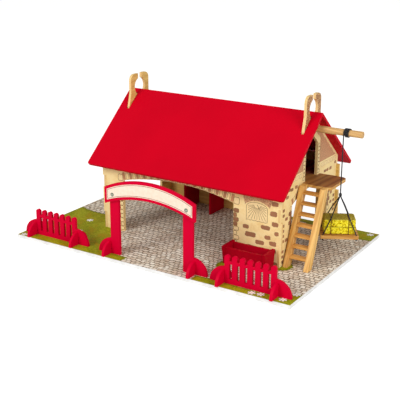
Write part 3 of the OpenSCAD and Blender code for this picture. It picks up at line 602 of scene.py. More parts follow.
# %% Ink sheets
ink = Finish("ink", 0.6)
ink_map = ink.node("Attribute", attribute_name="ink").outputs
ink_specks = ink.noise(ink.place(), 620, detail=4, rough=0.75)
speck_tone = ink.ramp(ink_specks, [(0.32, (0.62, 0.56, 0.52, 1)), (0.5, (1, 1, 1, 1))])
ink.colour(ink.mix(ink.math("MULTIPLY", ink_map["Alpha"], 0.8), ink_map["Color"], speck_tone,
                   "MULTIPLY"))
ink.bump(ink_specks, 0.06, 0.0001)
X, Y, Z = np.eye(3)


class InkSheet:
    """Collects flat shapes with colours, then makes them one piece on a wall."""

    def __init__(self):
        self.points, self.faces, self.colours, self.count = [], [], [], 0

    def add(self, shapes, colour, spread=0.0, lift=0.0, speckle=1.0):
        """Shapes of one colour, each of them lighter or darker by up to spread."""
        shapes = np.asarray(shapes, float)
        if len(shapes) == 0:
            return
        n, m = shapes.shape[:2]
        tone = 1 + ink_draw.uniform(-spread, spread, (n, 1, 1))
        tints = np.clip(np.broadcast_to(colour[:3], (n, m, 3)) * tone, 0, 1)
        self.faces += (np.arange(n * m).reshape(n, m) + self.count).tolist()
        self.count += n * m
        self.points.append(coords(shapes[..., 0], shapes[..., 1], lift).reshape(-1, 3))
        self.colours.append(coords(*np.moveaxis(tints, -1, 0), speckle).reshape(-1, 4))

    def outline(self, loops, width, colour, lift=0.0):
        """The sides of closed outlines, n x m x 2, as strips."""
        ends = np.roll(loops, -1, axis=1).reshape(-1, 2)
        self.add(strokes(loops.reshape(-1, 2), ends, width), colour, lift=lift)

    def piece(self, name, origin, axes, body, slot):
        """Lays the shapes down at origin; axes are their directions across, up and out. A
        mirrored set of axes turns every face inside out, so its corners are then reversed."""
        faces = [face[::-1] for face in self.faces] if np.linalg.det(axes) < 0 else self.faces
        made = link_mesh(name, np.concatenate(self.points) @ np.array(axes) + origin, faces)
        layer = made.data.color_attributes.new("ink", "FLOAT_COLOR", "POINT")
        layer.data.foreach_set("color", np.concatenate(self.colours).astype(np.float32).ravel())
        made.data.materials.append(ink.material)
        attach(made, body)
        print(name, "shapes", len(faces))


print("nodes in the ink's finish", len(ink.tree.nodes))

# %% [markdown]
# Bricks peep through the plaster here and there. They could be placed by hand, but there
# are a few hundred. So a share of the places on the courses of a regular wall is drawn, and
# a brick is kept only where a rule says that the wall is there and free.

# %% Bricks
BRICK_L, BRICK_H = 27 * MM, 13 * MM


def scattered_bricks(low, high, free, share, course=BRICK_H, length=BRICK_L, fill=(0.5, 0.8)):
    """Bricks on the courses of a wall: each course is shifted by half a brick, a share of
    the places is drawn, and free(x, z) says where the wall is open to ink."""
    rows = np.arange(low[1] + course / 2, high[1], course)
    cx, cy = np.meshgrid(np.arange(low[0] - length, high[0] + length, length), rows)
    half_brick = (np.arange(len(rows)) % 2)[:, None] * length / 2
    cx = cx + half_brick + ink_draw.normal(0, 1.2 * MM, cx.shape)
    centres = coords(cx.ravel(), cy.ravel() + ink_draw.normal(0, 0.5 * MM, cx.size))
    widths = length * ink_draw.uniform(*fill, len(centres))
    heights = course * ink_draw.uniform(0.5, 0.64, len(centres))
    chosen = ink_draw.random(len(centres)) < share
    outlines = rounded_outline(centres, widths, heights, 0.25 * MM)
    return outlines[chosen & free(outlines[..., 0], outlines[..., 1]).all(axis=1)]


print("courses of bricks up a long wall", int(WALL_H / BRICK_H))

# %% [markdown]
# Pale stones frame each doorway: wide and narrow ones in turn up the jambs, and wedges over
# the arch. Real jambs are laid that way to bond with the wall. All are worked out from the
# doorway's own width and height, so that they follow its edge closely.

# %% Jambs and arches
BRICK, BRICK_PALE, LINE = rgb(166, 116, 82), rgb(196, 142, 100), rgb(126, 82, 42)
PALE_STONE, TERRACOTTA = rgb(250, 226, 168), rgb(214, 162, 120)
DOOR_H, ARCH_RISE = 138 * MM, 18 * MM
FILLED_LOW, FILLED_HIGH = 74 * MM, 106 * MM


def jamb_stones(sheet, edge, outward, low, high, wide=12.5 * MM, narrow=8 * MM, course=9.8 * MM):
    """Draws the stones beside a doorway, of which a few at mid height are filled."""
    rows = np.arange(low + course / 2, high - course / 2, course)
    widths = np.where(np.arange(len(rows)) % 2 == 0, wide, narrow)
    widths = widths * ink_draw.uniform(0.9, 1.1, len(rows))
    centres = coords(edge + outward * (widths / 2 + 0.8 * MM), rows)
    stones_here = rounded_outline(centres, widths, course * 0.86, 0.15 * MM)
    filled = (rows > FILLED_LOW) & (rows < FILLED_HIGH)
    sheet.add(stones_here[~filled], PALE_STONE, 0.04)
    sheet.add(stones_here[filled], BRICK, 0.12)
    sheet.outline(stones_here, 0.9 * MM, LINE, lift=0.04 * MM)


def arch_stones(middle, width, depth=17 * MM, gap=1.0 * MM, pitch=9.2 * MM):
    """Wedge stones over an arch of radius (w*w/4 + h*h) / 2h: each one a four cornered
    shape between two radii, and every second one a little shorter."""
    r = (width ** 2 / 4 + ARCH_RISE ** 2) / (2 * ARCH_RISE)
    half = math.asin(width / 2 / r)
    count = int(2 * half * r / pitch)
    edges = np.linspace(-half, half, count + 1)
    joint = 0.13 * (edges[1] - edges[0])
    inner, outer = r + gap, r + gap + depth * (1 - 0.12 * (np.arange(count) % 2))
    a, b = edges[:-1] + joint, edges[1:] - joint
    ends = ((inner, a), (inner, b), (outer, b), (outer, a))
    wedge = [coords(radius * np.sin(turn), radius * np.cos(turn)) for radius, turn in ends]
    return np.stack(wedge, axis=1) + np.array([middle, DOOR_H - r])


def arch_ink(sheet, wedges, line=0.8 * MM):
    """Every second wedge is filled, and the others are only outlined."""
    sheet.add(wedges[::2], BRICK_PALE, 0.12)
    sheet.outline(wedges[1::2], line, LINE)


print("wedges over a wide doorway", len(arch_stones(0, 283 * MM)))

# %% [markdown]
# Both long walls get bricks, an arch and jambs. The front wall's right pier is crowded in
# the photograph, so its bricks are placed one by one, and head stones close its jambs.

# %% Ink on the long walls
FRONT_DOOR, REAR_DOOR = (-9.5 * MM, 283 * MM), (111 * MM, 168 * MM)
BESIDE_DOOR, ABOVE_DOOR, FROM_EDGE = 17 * MM, 19 * MM, 3 * MM
PIER_X, PIER_LOW = 148 * MM, 42 * MM
PIER_BRICKS = np.array([
    [162, 74.6, 14, 8.5], [207, 80.6, 21, 9.5], [173, 59.3, 25, 10.5], [213, 60, 14, 8.5],
    [225, 113, 16, 10.5], [229, 91, 14, 9.5], [233, 72, 10, 8.5], [225, 49, 16, 9.5],
    [160, 22, 13, 8], [195, 46, 20, 9], [228, 134, 15, 9.5], [232, 158, 13, 9],
    [168, 160, 20, 9.5], [205, 163, 18, 9]]) * MM


def long_wall_ink(door, share, jamb_top, front):
    """The ink of one long wall, as shapes of (distance along the ridge, height)."""
    def free(x, z):
        shut = (np.abs(x - door[0]) < door[1] / 2 + BESIDE_DOOR) & (z < DOOR_H + ABOVE_DOOR)
        if front:
            shut |= (x > PIER_X) & (z > PIER_LOW)
        on_wall = (x > LEFT_X + 2 * MM) & (x < RIGHT_X - 2 * MM)
        return on_wall & (z > FROM_EDGE) & (z < WALL_H - FROM_EDGE) & ~shut

    sheet = InkSheet()
    sheet.add(scattered_bricks((LEFT_X, 0), (RIGHT_X, WALL_H), free, share), BRICK, 0.2)
    if front:
        sheet.add(rounded_outline(PIER_BRICKS[:, :2], *PIER_BRICKS.T[2:], 0.35 * MM), BRICK, 0.12)
    arch_ink(sheet, arch_stones(*door))
    for outward in (1, -1):
        edge = door[0] + outward * door[1] / 2
        jamb_stones(sheet, edge, outward, 2 * MM, jamb_top)
        if front:
            head = np.array([[edge + outward * 7.5 * MM, 126 * MM]])
            head_stone = rounded_outline(head, 13 * MM, 15 * MM, 0.15 * MM)
            sheet.add(head_stone, PALE_STONE)
            sheet.outline(head_stone, 1.0 * MM, LINE, lift=0.04 * MM)
    return sheet


front_ink = long_wall_ink(FRONT_DOOR, 0.5, 118 * MM, front=True)
print("corners of ink on the front wall so far", front_ink.count)

# %% [markdown]
# A sundial is printed over the trough: a round topped panel with a fan of hour lines and a
# slanting pointer, under a stippled lintel. Its lines run from one root point to the
# panel's edge, as on a real dial, so their lengths are worked out and not typed.

# %% Sundial over the trough
DIAL_X, DIAL_LOW, DIAL_HIGH, DIAL_HALF = 187 * MM, 90 * MM, 119 * MM, 24.3 * MM
DIAL_ARCH = DIAL_HALF * np.array([1, 0.45])
dial_top = (DIAL_X, DIAL_HIGH) + DIAL_ARCH * circle(np.linspace(0, np.pi, 25))
hem = coords(np.linspace(DIAL_X - DIAL_HALF, DIAL_X + DIAL_HALF, 12),
             DIAL_LOW + 1.6 * MM * (np.arange(12) % 2))
dial_edge = np.concatenate([dial_top, hem])[None]
front_ink.add(dial_edge, PALE_STONE)
front_ink.outline(dial_edge, 0.8 * MM, LINE, lift=0.05 * MM)
hour_root = np.array([DIAL_X + 0.5 * MM, DIAL_HIGH + 6.5 * MM])
hour_way = circle(np.radians(np.linspace(192, 348, 15)))
to_side = 21 * MM / np.maximum(np.abs(hour_way[:, 0]), 0.01)
to_hem = (hour_root[1] - DIAL_LOW - 4 * MM) / np.abs(hour_way[:, 1])
hour_ends = hour_root + hour_way * np.minimum(to_side, to_hem)[:, None]
front_ink.add(strokes(hour_root + hour_way * 7 * MM, hour_ends, 0.75 * MM), LINE, lift=0.05 * MM)
pointer_end = hour_root + np.array([7, -11]) * MM
front_ink.add(strokes([hour_root], [pointer_end], 1.2 * MM), rgb(98, 64, 34), lift=0.08 * MM)
hour_lengths = np.linalg.norm(hour_ends - hour_root, axis=1) / MM
print("hour lines reach", hour_lengths.min().round(1), "to", hour_lengths.max().round(1), "mm")

# %% [markdown]
# The lintel is a row of terracotta blocks between two curves. Its stipple is drawn by
# blending the four corners of a block at random, so that every dot lands inside a block.

# %% Lintel, and the finished long walls
BLOCKS, DOTS = 14, 420
share = np.linspace(0, 1, BLOCKS + 1)
lintel_in = coords(159.5 + 57 * share, 122.5 + 11.5 * np.sin(np.pi * share) ** 0.8) * MM
lintel_out = coords(153 + 70.5 * share, 145 + 3 * np.sin(np.pi * share)) * MM
blocks = np.stack([lintel_in[:-1], lintel_in[1:], lintel_out[1:], lintel_out[:-1]], axis=1)
front_ink.add(blocks, TERRACOTTA, 0.1)
in_block = blocks[ink_draw.integers(0, BLOCKS, DOTS)]
blend_u, blend_v = ink_draw.random((2, DOTS, 1))
low_side = in_block[:, 0] * (1 - blend_u) + in_block[:, 1] * blend_u
high_side = in_block[:, 3] * (1 - blend_u) + in_block[:, 2] * blend_u
dot_at = (low_side * (1 - blend_v) + high_side * blend_v)[:, None]
SQUARE = np.array([[0, 0], [1, 0], [1, 1], [0, 1]])
dot = (SQUARE - 0.5) * MM
front_ink.add(dot_at[::2] + dot * 1.1, BRICK, 0.2, lift=0.05 * MM)
front_ink.add(dot_at[1::2] + dot * 0.8, PALE_STONE, 0.05, lift=0.05 * MM)
front_ink.piece("front_wall_print", (0, FRONT_Y - INK_LIFT, DECK), (X, Z, -Y),
                "barn", "printed_wall")
rear_ink = long_wall_ink(REAR_DOOR, 0.32, 122 * MM, front=False)
rear_ink.piece("rear_wall_print", (0, REAR_Y + INK_LIFT, DECK), (X, Z, Y), "barn", "printed_wall")

# %% [markdown]
# The gables have small bricks and jamb stones below and a pale course at the height of the
# eaves. Above it the wall is stippled terracotta. That could be a noise in the finish, but
# the real print is made of dots, so it is a field of small cells with two dots in each,
# cut off by the slope of the roof and the loft doorway's frame.

# %% Ink on the gables
GABLE_HALF, SIDE_DOOR_W = (REAR_Y - FRONT_Y) / 2, 170 * MM
COURSE_LOW, COURSE_HIGH, CELL = 168 * MM, 179 * MM, 2.5 * MM
LOFT_HALF, LOFT_LOW, LOFT_SHOULDER, LOFT_HEAD = 28.5 * MM, 150 * MM, 228 * MM, 247 * MM
CORNER_ROWS = (9 + 11 * np.array([0, 1, 2, 4, 5, 6, 7, 9, 10, 14])) * MM


def loft_frame(y, z, grow):
    """True inside the loft doorway's outline, grown by a margin."""
    half = LOFT_HALF + grow
    head = LOFT_SHOULDER + grow * 0.6 + (half - np.abs(y)) * 19 / 22.5
    return (np.abs(y) < half) & (z < np.minimum(head, LOFT_HEAD + grow)) & (z > LOFT_LOW)


def gable_ink(loft_door):
    """The ink of one gable, as shapes of (distance behind the ridge line, height)."""
    def lower_free(y, z):
        arch_top = DOOR_H + 16 * MM - 0.2 * np.maximum(np.abs(y) - 40 * MM, 0)
        door = (np.abs(y) < SIDE_DOOR_W / 2 + 14 * MM) & (z < arch_top)
        shut = door | loft_door & loft_frame(y, z, 13 * MM)
        on_wall = (np.abs(y) < GABLE_HALF - 19 * MM) & (z > FROM_EDGE)
        return on_wall & (z < COURSE_LOW - 1 * MM) & ~shut

    sheet = InkSheet()
    bricks = scattered_bricks((-GABLE_HALF, 0), (GABLE_HALF, WALL_H), lower_free, 0.62,
                              course=11.5 * MM, length=14 * MM, fill=(0.72, 0.86))
    sheet.add(bricks, BRICK, 0.2)
    cell_y, cell_z = np.meshgrid(np.arange(-GABLE_HALF, GABLE_HALF, CELL),
                                 np.arange(COURSE_HIGH, PEAK_H, CELL))
    cells = coords(cell_y.ravel(), cell_z.ravel())
    y, z = (cells + CELL / 2).T
    under_roof = (z > COURSE_HIGH + 2 * MM) & (z < PEAK_H - SLOPE * np.abs(y) - 7 * MM)
    cells = cells[under_roof & ~(loft_door & loft_frame(y, z, 11 * MM))]
    sheet.add(cells[:, None] + SQUARE * CELL, TERRACOTTA, 0.05)
    dots = cells.repeat(2, axis=0) + ink_draw.uniform(0.1, 0.9, (2 * len(cells), 2)) * CELL
    sizes = ink_draw.uniform(0.5, 0.9, (len(dots), 1, 1)) * MM
    sheet.add(dots[:, None] + (SQUARE - 0.5) * sizes, BRICK, 0.3, lift=0.05 * MM)
    course_y = np.arange(-GABLE_HALF + 9 * MM, GABLE_HALF - 6 * MM, 15 * MM)
    course_y = course_y[~(loft_door & loft_frame(course_y, 170 * MM, 20 * MM))]
    middles = coords(course_y, (COURSE_LOW + COURSE_HIGH) / 2)
    course = rounded_outline(middles, 13.6 * MM, 8.4 * MM, 0.2 * MM)
    sheet.add(course, PALE_STONE, 0.04)
    sheet.outline(course, 0.5 * MM, BRICK_PALE, lift=0.04 * MM)
    wedges = arch_stones(0.0, SIDE_DOOR_W, depth=13 * MM)
    near_loft = loft_frame(wedges[..., 0].mean(1), wedges[..., 1].max(1) + 8 * MM, 8 * MM)
    arch_ink(sheet, wedges[~(loft_door & near_loft)], 0.7 * MM)
    for outward in (-1, 1):
        jamb_stones(sheet, outward * SIDE_DOOR_W / 2, outward, 2 * MM, 122 * MM)
        if loft_door:
            jamb_stones(sheet, outward * 29 * MM, outward, 160 * MM, 228 * MM,
                        9.5 * MM, 6.5 * MM, 8.2 * MM)
        corner = coords(outward * (GABLE_HALF - 13 * MM), CORNER_ROWS)
        sheet.add(rounded_outline(corner, 9 * MM, 6.5 * MM, 0.2 * MM), BRICK, 0.2)
    return sheet


gable_ink(True).piece("gable_right_print", (RIGHT_X + INK_LIFT, RIDGE_Y, DECK), (Y, Z, X),
                      "barn", "printed_wall")
gable_ink(False).piece("gable_left_print", (LEFT_X - INK_LIFT, RIDGE_Y, DECK), (Y, Z, -X),
                       "barn", "printed_wall")

# %% [markdown]
# Daisies are printed on the grass. Each is a ring of six petals round a small middle. A
# white petal would drown in the noisy grass, so it lies on a slightly larger dark copy of
# itself, and has a greenish fold along its middle.

# %% Daisies
DAISIES = np.array([[253, -209], [271, -206], [317, -204], [329, -170], [324, 206], [-300, -150],
                    [-262, -60], [-322, -92], [-238, -128], [-286, 184], [-326, -212]]) * MM
petal_at = DAISIES[:, None] + 5.0 * MM * circle(turns(6))
petals = rounded_outline(petal_at.reshape(-1, 2), 6.2 * MM, 3.7 * MM, 0.1 * MM,
                         turn=np.tile(turns(6), len(DAISIES)))
hearts = rounded_outline(DAISIES, 3.4 * MM, 3.4 * MM, 0.1 * MM)
petal_middles = petals.mean(axis=1, keepdims=True)
daisy_ink = InkSheet()
for size, tint, lift in ((1.2, rgb(122, 112, 40), 0.06), (1.0, rgb(255, 255, 252), 0.1),
                         (0.3, rgb(200, 200, 160), 0.16)):
    daisy_ink.add(petals * size + petal_middles * (1 - size), tint, lift=lift * MM, speckle=0.2)
daisy_ink.add(hearts, rgb(246, 236, 190), lift=0.2 * MM, speckle=0.2)
daisy_ink.piece("ground_daisies", (0, 0, DECK + INK_LIFT), (X, Y, Z), "barn", "printed_board")

# %% [markdown]
# A thin brownish line is drawn inside the sign's plate, along its two arcs and its ends,
# as painted shadow of the plate's edge, and the two screws sit in darker rings, painted
# shadow round their heads. Thin tubes would stand off the plate like wire, so both are
# strokes on a sheet of ink again. The place for words between them stays bare.

# %% Painted shadows: line and rings on the sign
SIGN_X, SIGN_FACE_Y, SIGN_W = 8 * MM, -201 * MM, 222 * MM
SCREW_X, SCREW_Z, RING_R = 91 * MM, 134 * MM, 3.7 * MM


def sign_arc(end, crown, inset, x):
    """Height of the sign's edge over x: a circle through both ends and the crown, with
    radius (w*w/4 + h*h) / 2h, moved by the inset."""
    r = (SIGN_W ** 2 / 4 + (crown - end) ** 2) / (2 * (crown - end))
    return crown - r + np.sqrt((r + inset) ** 2 - x ** 2)


INSET = 8.0 * MM
sign_x = np.linspace(INSET - SIGN_W / 2, SIGN_W / 2 - INSET, 61)
sign_edge = np.concatenate([coords(sign_x, sign_arc(112 * MM, 134.5 * MM, INSET, sign_x)),
                            coords(sign_x, sign_arc(148 * MM, 173.5 * MM, -INSET, sign_x))[::-1]])
sign_shadow_sheet = InkSheet()
# painted shadow along the edge of the cream plate
sign_shadow_sheet.outline(sign_edge[None], 0.9 * MM, rgb(150, 66, 54))
# a painted shadow ring round each screw head
for side in (-1, 1):
    ring = (side * SCREW_X, SCREW_Z) + RING_R * circle(turns(24))
    sign_shadow_sheet.outline(ring[None], 1.1 * MM, rgb(128, 134, 116))
sign_shadow_sheet.piece("sign_painted_shadows", (SIGN_X, SIGN_FACE_Y - INK_LIFT, DECK), (X, Z, -Y),
               "gate", "sign_cream")

# %% [markdown]
# All cords are one black braided cord of 2.4 mm. A braid of real strands would cost
# thousands of faces. Its finish crosses two spirals that follow the tube's own coordinates
# instead, so the braid runs along every piece, however it bends. Its colour is painted
# darker in the grooves between the strands, as painted shade, and paler on their crowns, as
# a painted sheen.

# %% Cord finish
CORD_D = 2.4 * MM


def spiral(finish, turns, pitch):
    """A wave that winds round a tube: sin 2 pi (turns * u + v / pitch)."""
    place = finish.place(source="UV")
    around = finish.math("MULTIPLY", finish.axis(place, "X"), 2 * math.pi * turns)
    return finish.wave(finish.axis(place, "Y"), pitch, around)


braid = Finish("black_braid", 0.6, gloss=0.15)
strands = braid.math("MAXIMUM", spiral(braid, 2, 3.4 * MM), spiral(braid, -2, 3.4 * MM))
weave_and_sheen = braid.math("MULTIPLY_ADD", strands, 0.5, 0.5)
# painted shade in the grooves and a painted sheen on the strand crowns
braid.colour(braid.ramp(weave_and_sheen, [(0.25, rgb(10, 10, 11)), (0.85, rgb(30, 31, 34)),
                                (1.0, rgb(66, 68, 74))]))
braid.bump(weave_and_sheen, 0.7, 0.0004)
print("nodes in the braid", len(braid.tree.nodes))

# %% [markdown]
# The cord hangs from the pole's front side, where the winding leaves it, down to a knot
# above the tray. When the pole turns, the tray goes up or down and the cord between them
# changes its length.

# %% Hoist cord
POLE_Z, POLE_R = 272.5 * MM, 7 * MM
WIND_R = POLE_R + 0.2 * MM + CORD_D / 2
CORD_X, CORD_Y = RIGHT_X + 71.5 * MM, RIDGE_Y - WIND_R
KNOT_Z, KNOT_H = DECK + 135 * MM, 7.5 * MM
cord_top, cord_low = POLE_Z - CORD_D, KNOT_Z + KNOT_H / 2
hang_path = coords(CORD_X, CORD_Y, np.linspace(cord_top, cord_low, 32))
hoist_cord = tube("hoist_cord_braid", hang_path, CORD_D / 2, sides=16)
hoist_cord.data.materials.append(braid.material)
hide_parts("hoist_cord")
print("hanging cord", round(path_length(hang_path), 4), "m")

# %% [markdown]
# The knot is a barrel of three tight turns. Its real strands cross inside it, where nobody
# sees them, so a straight core fills its middle.

# %% Knot over the tray
KNOT_TURNS, KNOT_R = 3, 1.9 * MM
knot_s = np.linspace(0, 1, 24 * KNOT_TURNS + 1)
knot_angle = 2 * np.pi * KNOT_TURNS * knot_s
knot_path = coords(CORD_X + KNOT_R * np.cos(knot_angle), CORD_Y + KNOT_R * np.sin(knot_angle),
                   KNOT_Z + (knot_s - 0.5) * (KNOT_H - CORD_D))
tray_knot = tube("tray_knot_turns", knot_path, CORD_D / 2, sides=12, side=(0, 0, 1))
core_path = coords(CORD_X, CORD_Y, np.linspace(KNOT_Z - KNOT_H / 2, KNOT_Z + KNOT_H / 2, 6))
knot_core = tube("tray_knot_core", core_path, CORD_D / 2, sides=12)
for part in (tray_knot, knot_core):
    part.data.materials.append(braid.material)
    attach(part, "hanger")
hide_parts("tray_knot")
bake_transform(hoist_cord)
print("turns in the knot", KNOT_TURNS)

# %% [markdown]
# A stop knot is an overhand knot. A ball would be simpler, but the curve sin t + 2 sin 2t,
# cos t - 2 cos 2t, -sin 3t is the plainest closed curve that is truly knotted, and drawn
# tight it looks like the real thing.


# %% Overhand knots
def overhand(name, centre, size, height, radius):
    """A tight overhand knot: the knotted curve above, scaled to size across and height."""
    t = turns(72)
    path = coords((np.sin(t) + 2 * np.sin(2 * t)) / 3 * size,
                  (np.cos(t) - 2 * np.cos(2 * t)) / 3 * size, -np.sin(3 * t) * height)
    knot = tube(name, path + centre, radius, sides=10, side=(0.02, 0.03, 1), closed=True)
    knot.data.materials.append(braid.material)
    return knot


tray_way = np.array([[math.cos(TRAY_TURN), math.sin(TRAY_TURN)],
                     [-math.sin(TRAY_TURN), math.cos(TRAY_TURN)]])


def on_tray(points):
    """Turns points given round the hanging cord, with heights over the deck, into the frame."""
    points = np.asarray(points, float)
    flat = points[..., :2] @ tray_way + np.array([CORD_X, CORD_Y])
    return np.concatenate([flat, points[..., 2:] + DECK], axis=-1)


print("the tray's middle", on_tray([[0, 0, 0]])[0].round(4))

# %% [markdown]
# Four cords run from the knot over the bale's long edges to the tray's corners, and end in
# stop knots below it. Straight lines would cut through the bale, so each follows the
# model's route, and its corners are cut off twice to round them.

# %% Tray cords
TRAY_TOP, TRAY_T, KNOT_MID = 55 * MM, 7 * MM, 135 * MM
HOLE_U, HOLE_V = 34.3 * MM, 24.9 * MM
BEND_U, BEND_Z, START = 20 * MM, 89 * MM, 1.25 * MM


def smooth_path(path, rounds=2):
    """Cuts each inner corner of a polyline at a quarter and three quarters of its sides,
    the given number of times, so that it becomes a smooth curve. The ends stay."""
    for _ in range(rounds):
        cuts = [0.75 * path[:-1] + 0.25 * path[1:], 0.25 * path[:-1] + 0.75 * path[1:]]
        inner = np.stack(cuts, axis=1).reshape(-1, 3)[1:-1]
        path = np.concatenate([path[:1], inner, path[-1:]])
    return path


knot_under = KNOT_MID - KNOT_H / 2
route_low = TRAY_TOP - TRAY_T - 0.3 * MM
route = np.array([[START, START, knot_under], [START, START, knot_under - 1.2 * MM],
                  [BEND_U * 0.55, HOLE_V * 0.57, (KNOT_MID + BEND_Z) / 2 - 2 * MM],
                  [BEND_U - 2 * MM, HOLE_V - 1.6 * MM, BEND_Z + 4 * MM],
                  [BEND_U + 2 * MM, HOLE_V, BEND_Z - 5 * MM],
                  [HOLE_U - 1 * MM, HOLE_V, TRAY_TOP + 2.5 * MM], [HOLE_U, HOLE_V, TRAY_TOP],
                  [HOLE_U, HOLE_V, route_low]])
for number, (su, sv) in enumerate([(-1, -1), (1, -1), (1, 1), (-1, 1)], start=1):
    leg_path = on_tray(smooth_path(route * np.array([su, sv, 1.0])))
    leg = tube(f"tray_cord_{number}", leg_path, CORD_D / 2, sides=14, side=(0.26, 0.96, 0.05))
    leg.data.materials.append(braid.material)
    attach(leg, "tray")
    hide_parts("tray_cords")
    stop_centre = on_tray([[su * HOLE_U, sv * HOLE_V, route_low - 1.9 * MM]])[0]
    stop = overhand(f"tray_stop_knot_{number}", stop_centre, 1.25 * MM, 0.75 * MM, 1.1 * MM)
    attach(stop, "tray")
    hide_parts("tray_stops")
print("tray cord", round(path_length(leg_path), 4), "m")

# %% [markdown]
# The rest of the cord is wound on the pole. It is one tube along a helix, and not a stack
# of rings, so it can have the real cord's straight start towards the hanging cord and its
# straight end to a stop knot.

# %% Winding on the pole
WIND_HALF_TURNS, WIND_PITCH, RINGS = 7, CORD_D + 0.55 * MM, 24
wind_i = np.arange(WIND_HALF_TURNS * RINGS // 2 + 1)
wind_angle = 2 * np.pi * wind_i / RINGS
helix = coords(WIND_PITCH * wind_i / RINGS, -WIND_R * np.cos(wind_angle),
               WIND_R * np.sin(wind_angle))
start_run = helix[0] - Z * np.linspace(CORD_D, 0.3 * CORD_D, 4)[:, None]
end_run = helix[-1] - Z * np.linspace(0.3 * CORD_D, 2 * CORD_D, 6)[:, None]
wind_path = np.concatenate([start_run, helix, end_run]) + np.array([CORD_X, RIDGE_Y, POLE_Z])
winding = tube("cord_winding_turns", wind_path, CORD_D / 2, sides=12, side=(1, 0, 0))
winding.data.materials.append(braid.material)
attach(winding, "hoist")
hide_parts("cord_winding")
wind_knot = overhand("winding_end_knot", wind_path[-1] - Z * 1.6 * MM, 1.1 * MM, 0.7 * MM,
                     1.05 * MM)
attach(wind_knot, "hoist")
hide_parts("winding_knot")
print("wound cord", round(path_length(wind_path), 4), "m")

# %% [markdown]
# The hay bale is pressed straw. A subdivided box would round its corners evenly, where a
# pressed bale stays square. Its body is a squared ball, |x/a|^16 + |y/b|^16 + |z/c|^16 = 1,
# whose surface is pushed in and out by small waves, and pulled in under two twines.

# %% Hay bale body
BALE_L, BALE_W, BALE_H = 66 * MM, 44 * MM, 32 * MM
BALE_MID = np.array([0, 0, TRAY_TOP + BALE_H / 2 + 0.9 * MM])
BALE_HALF = np.array([BALE_L, BALE_W, BALE_H]) / 2
TWINE_U = BALE_L / 2 - 15 * MM


def bale_surface(way):
    """The bale's surface in given directions: reach r = (sum |n/h|^16)^(-1/16), made rough
    by 1 - 0.012 (1 + sin sin) - 0.006 (1 + sin sin), and pulled in at each twine by 3
    percent and at mid height by 2 percent, where the straw folds."""
    way = unit(way)
    reach = (np.abs(way / BALE_HALF) ** 16).sum(axis=-1) ** (-1 / 16)
    x, y, z = np.moveaxis(way * reach[..., None] / MM, -1, 0)
    broad = 1 + np.sin(0.9 * x + 0.7 * z) * np.sin(0.8 * y - 0.5 * x)
    fine = 1 + np.sin(2.7 * x + y) * np.sin(3.1 * z)
    rough = 1 - 0.012 * broad - 0.006 * fine
    twines = np.exp(-((np.abs(x) - TWINE_U / MM) / 2.0) ** 2)
    fold = np.exp(-(z / 1.1) ** 2)
    girth = rough * (1 - 0.03 * twines - 0.02 * fold)
    return coords(x * rough, y * girth, z * girth) * MM + BALE_MID


bale_turn, bale_tilt = np.meshgrid(np.linspace(0, 2 * np.pi, 181)[:-1], np.linspace(0, np.pi, 141),
                                   indexing="ij")
bale_way = coords(np.cos(bale_tilt) * 1.5, np.sin(bale_tilt) * np.cos(bale_turn),
                  np.sin(bale_tilt) * np.sin(bale_turn) * 0.8)
bale = surface("hay_bale_straw", on_tray(bale_surface(bale_way)), close_rows=True)
weld(bale, 0.01 * MM)
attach(bale, "bale")
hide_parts("hay_bale")
print("bale points", len(bale.data.vertices))

# %% [markdown]
# Straw is yellow on the cut sides and a duller olive on top, with dark gaps between the
# stalks and one darker line at mid height, where the surface is pulled in. Two stretched
# noises make the stalks and the clumps, and the direction of the face chooses between the
# two colours.

# %% Straw finish
straw = Finish("straw", 0.7, gloss=0.1)
straw_way = straw.place(turn=(0, 0, -TRAY_TURN), scale=(0.4, 1, 1))
stalk_tone = straw.noise(straw_way, 480, detail=4, rough=0.75, bend=0.8)
clumps = straw.noise(straw.place(), 260, detail=4, rough=0.75)
tone = straw.math("MULTIPLY_ADD", clumps, 0.6, straw.math("MULTIPLY", stalk_tone, 0.45))
yellow = straw.ramp(tone, [(0.43, rgb(110, 76, 10)), (0.48, rgb(220, 186, 14)),
                           (0.53, rgb(255, 240, 30)), (0.72, rgb(255, 250, 130))])
# a duller olive colour for the upward faces
olive_top = straw.ramp(tone, [(0.40, rgb(112, 94, 34)), (0.55, rgb(178, 158, 66)),
                          (0.75, rgb(206, 190, 110))])
top_face = straw.step(straw.normal("Z"), 0.6, 0.5)
from_fold = straw.math("SUBTRACT", straw.axis(straw.place(), "Z"), DECK + BALE_MID[2])
off_fold = straw.step(straw.math("ABSOLUTE", from_fold), 0.9 * MM, 0.9 * MM)
# a darker line at mid height
mid_height_line = straw.math("SUBTRACT", 1.0, off_fold)
body = straw.mix(straw.math("MULTIPLY", top_face, 0.85), yellow, olive_top)
straw.colour(straw.mix(straw.math("MULTIPLY", mid_height_line, 0.6), body, rgb(96, 72, 14)))
straw.bump(stalk_tone, 0.8, 0.0008)
bale.data.materials.append(straw.material)
print("nodes in the straw", len(straw.tree.nodes))

# %% [markdown]
# Loose stalks stand off a real bale, and give it its rough outline. Blender's hair would
# not reach the exported model, so each stalk is a thin folded strip of four steps that
# lies on the bale's surface: a seeded draw picks its face, place, tilt and length.

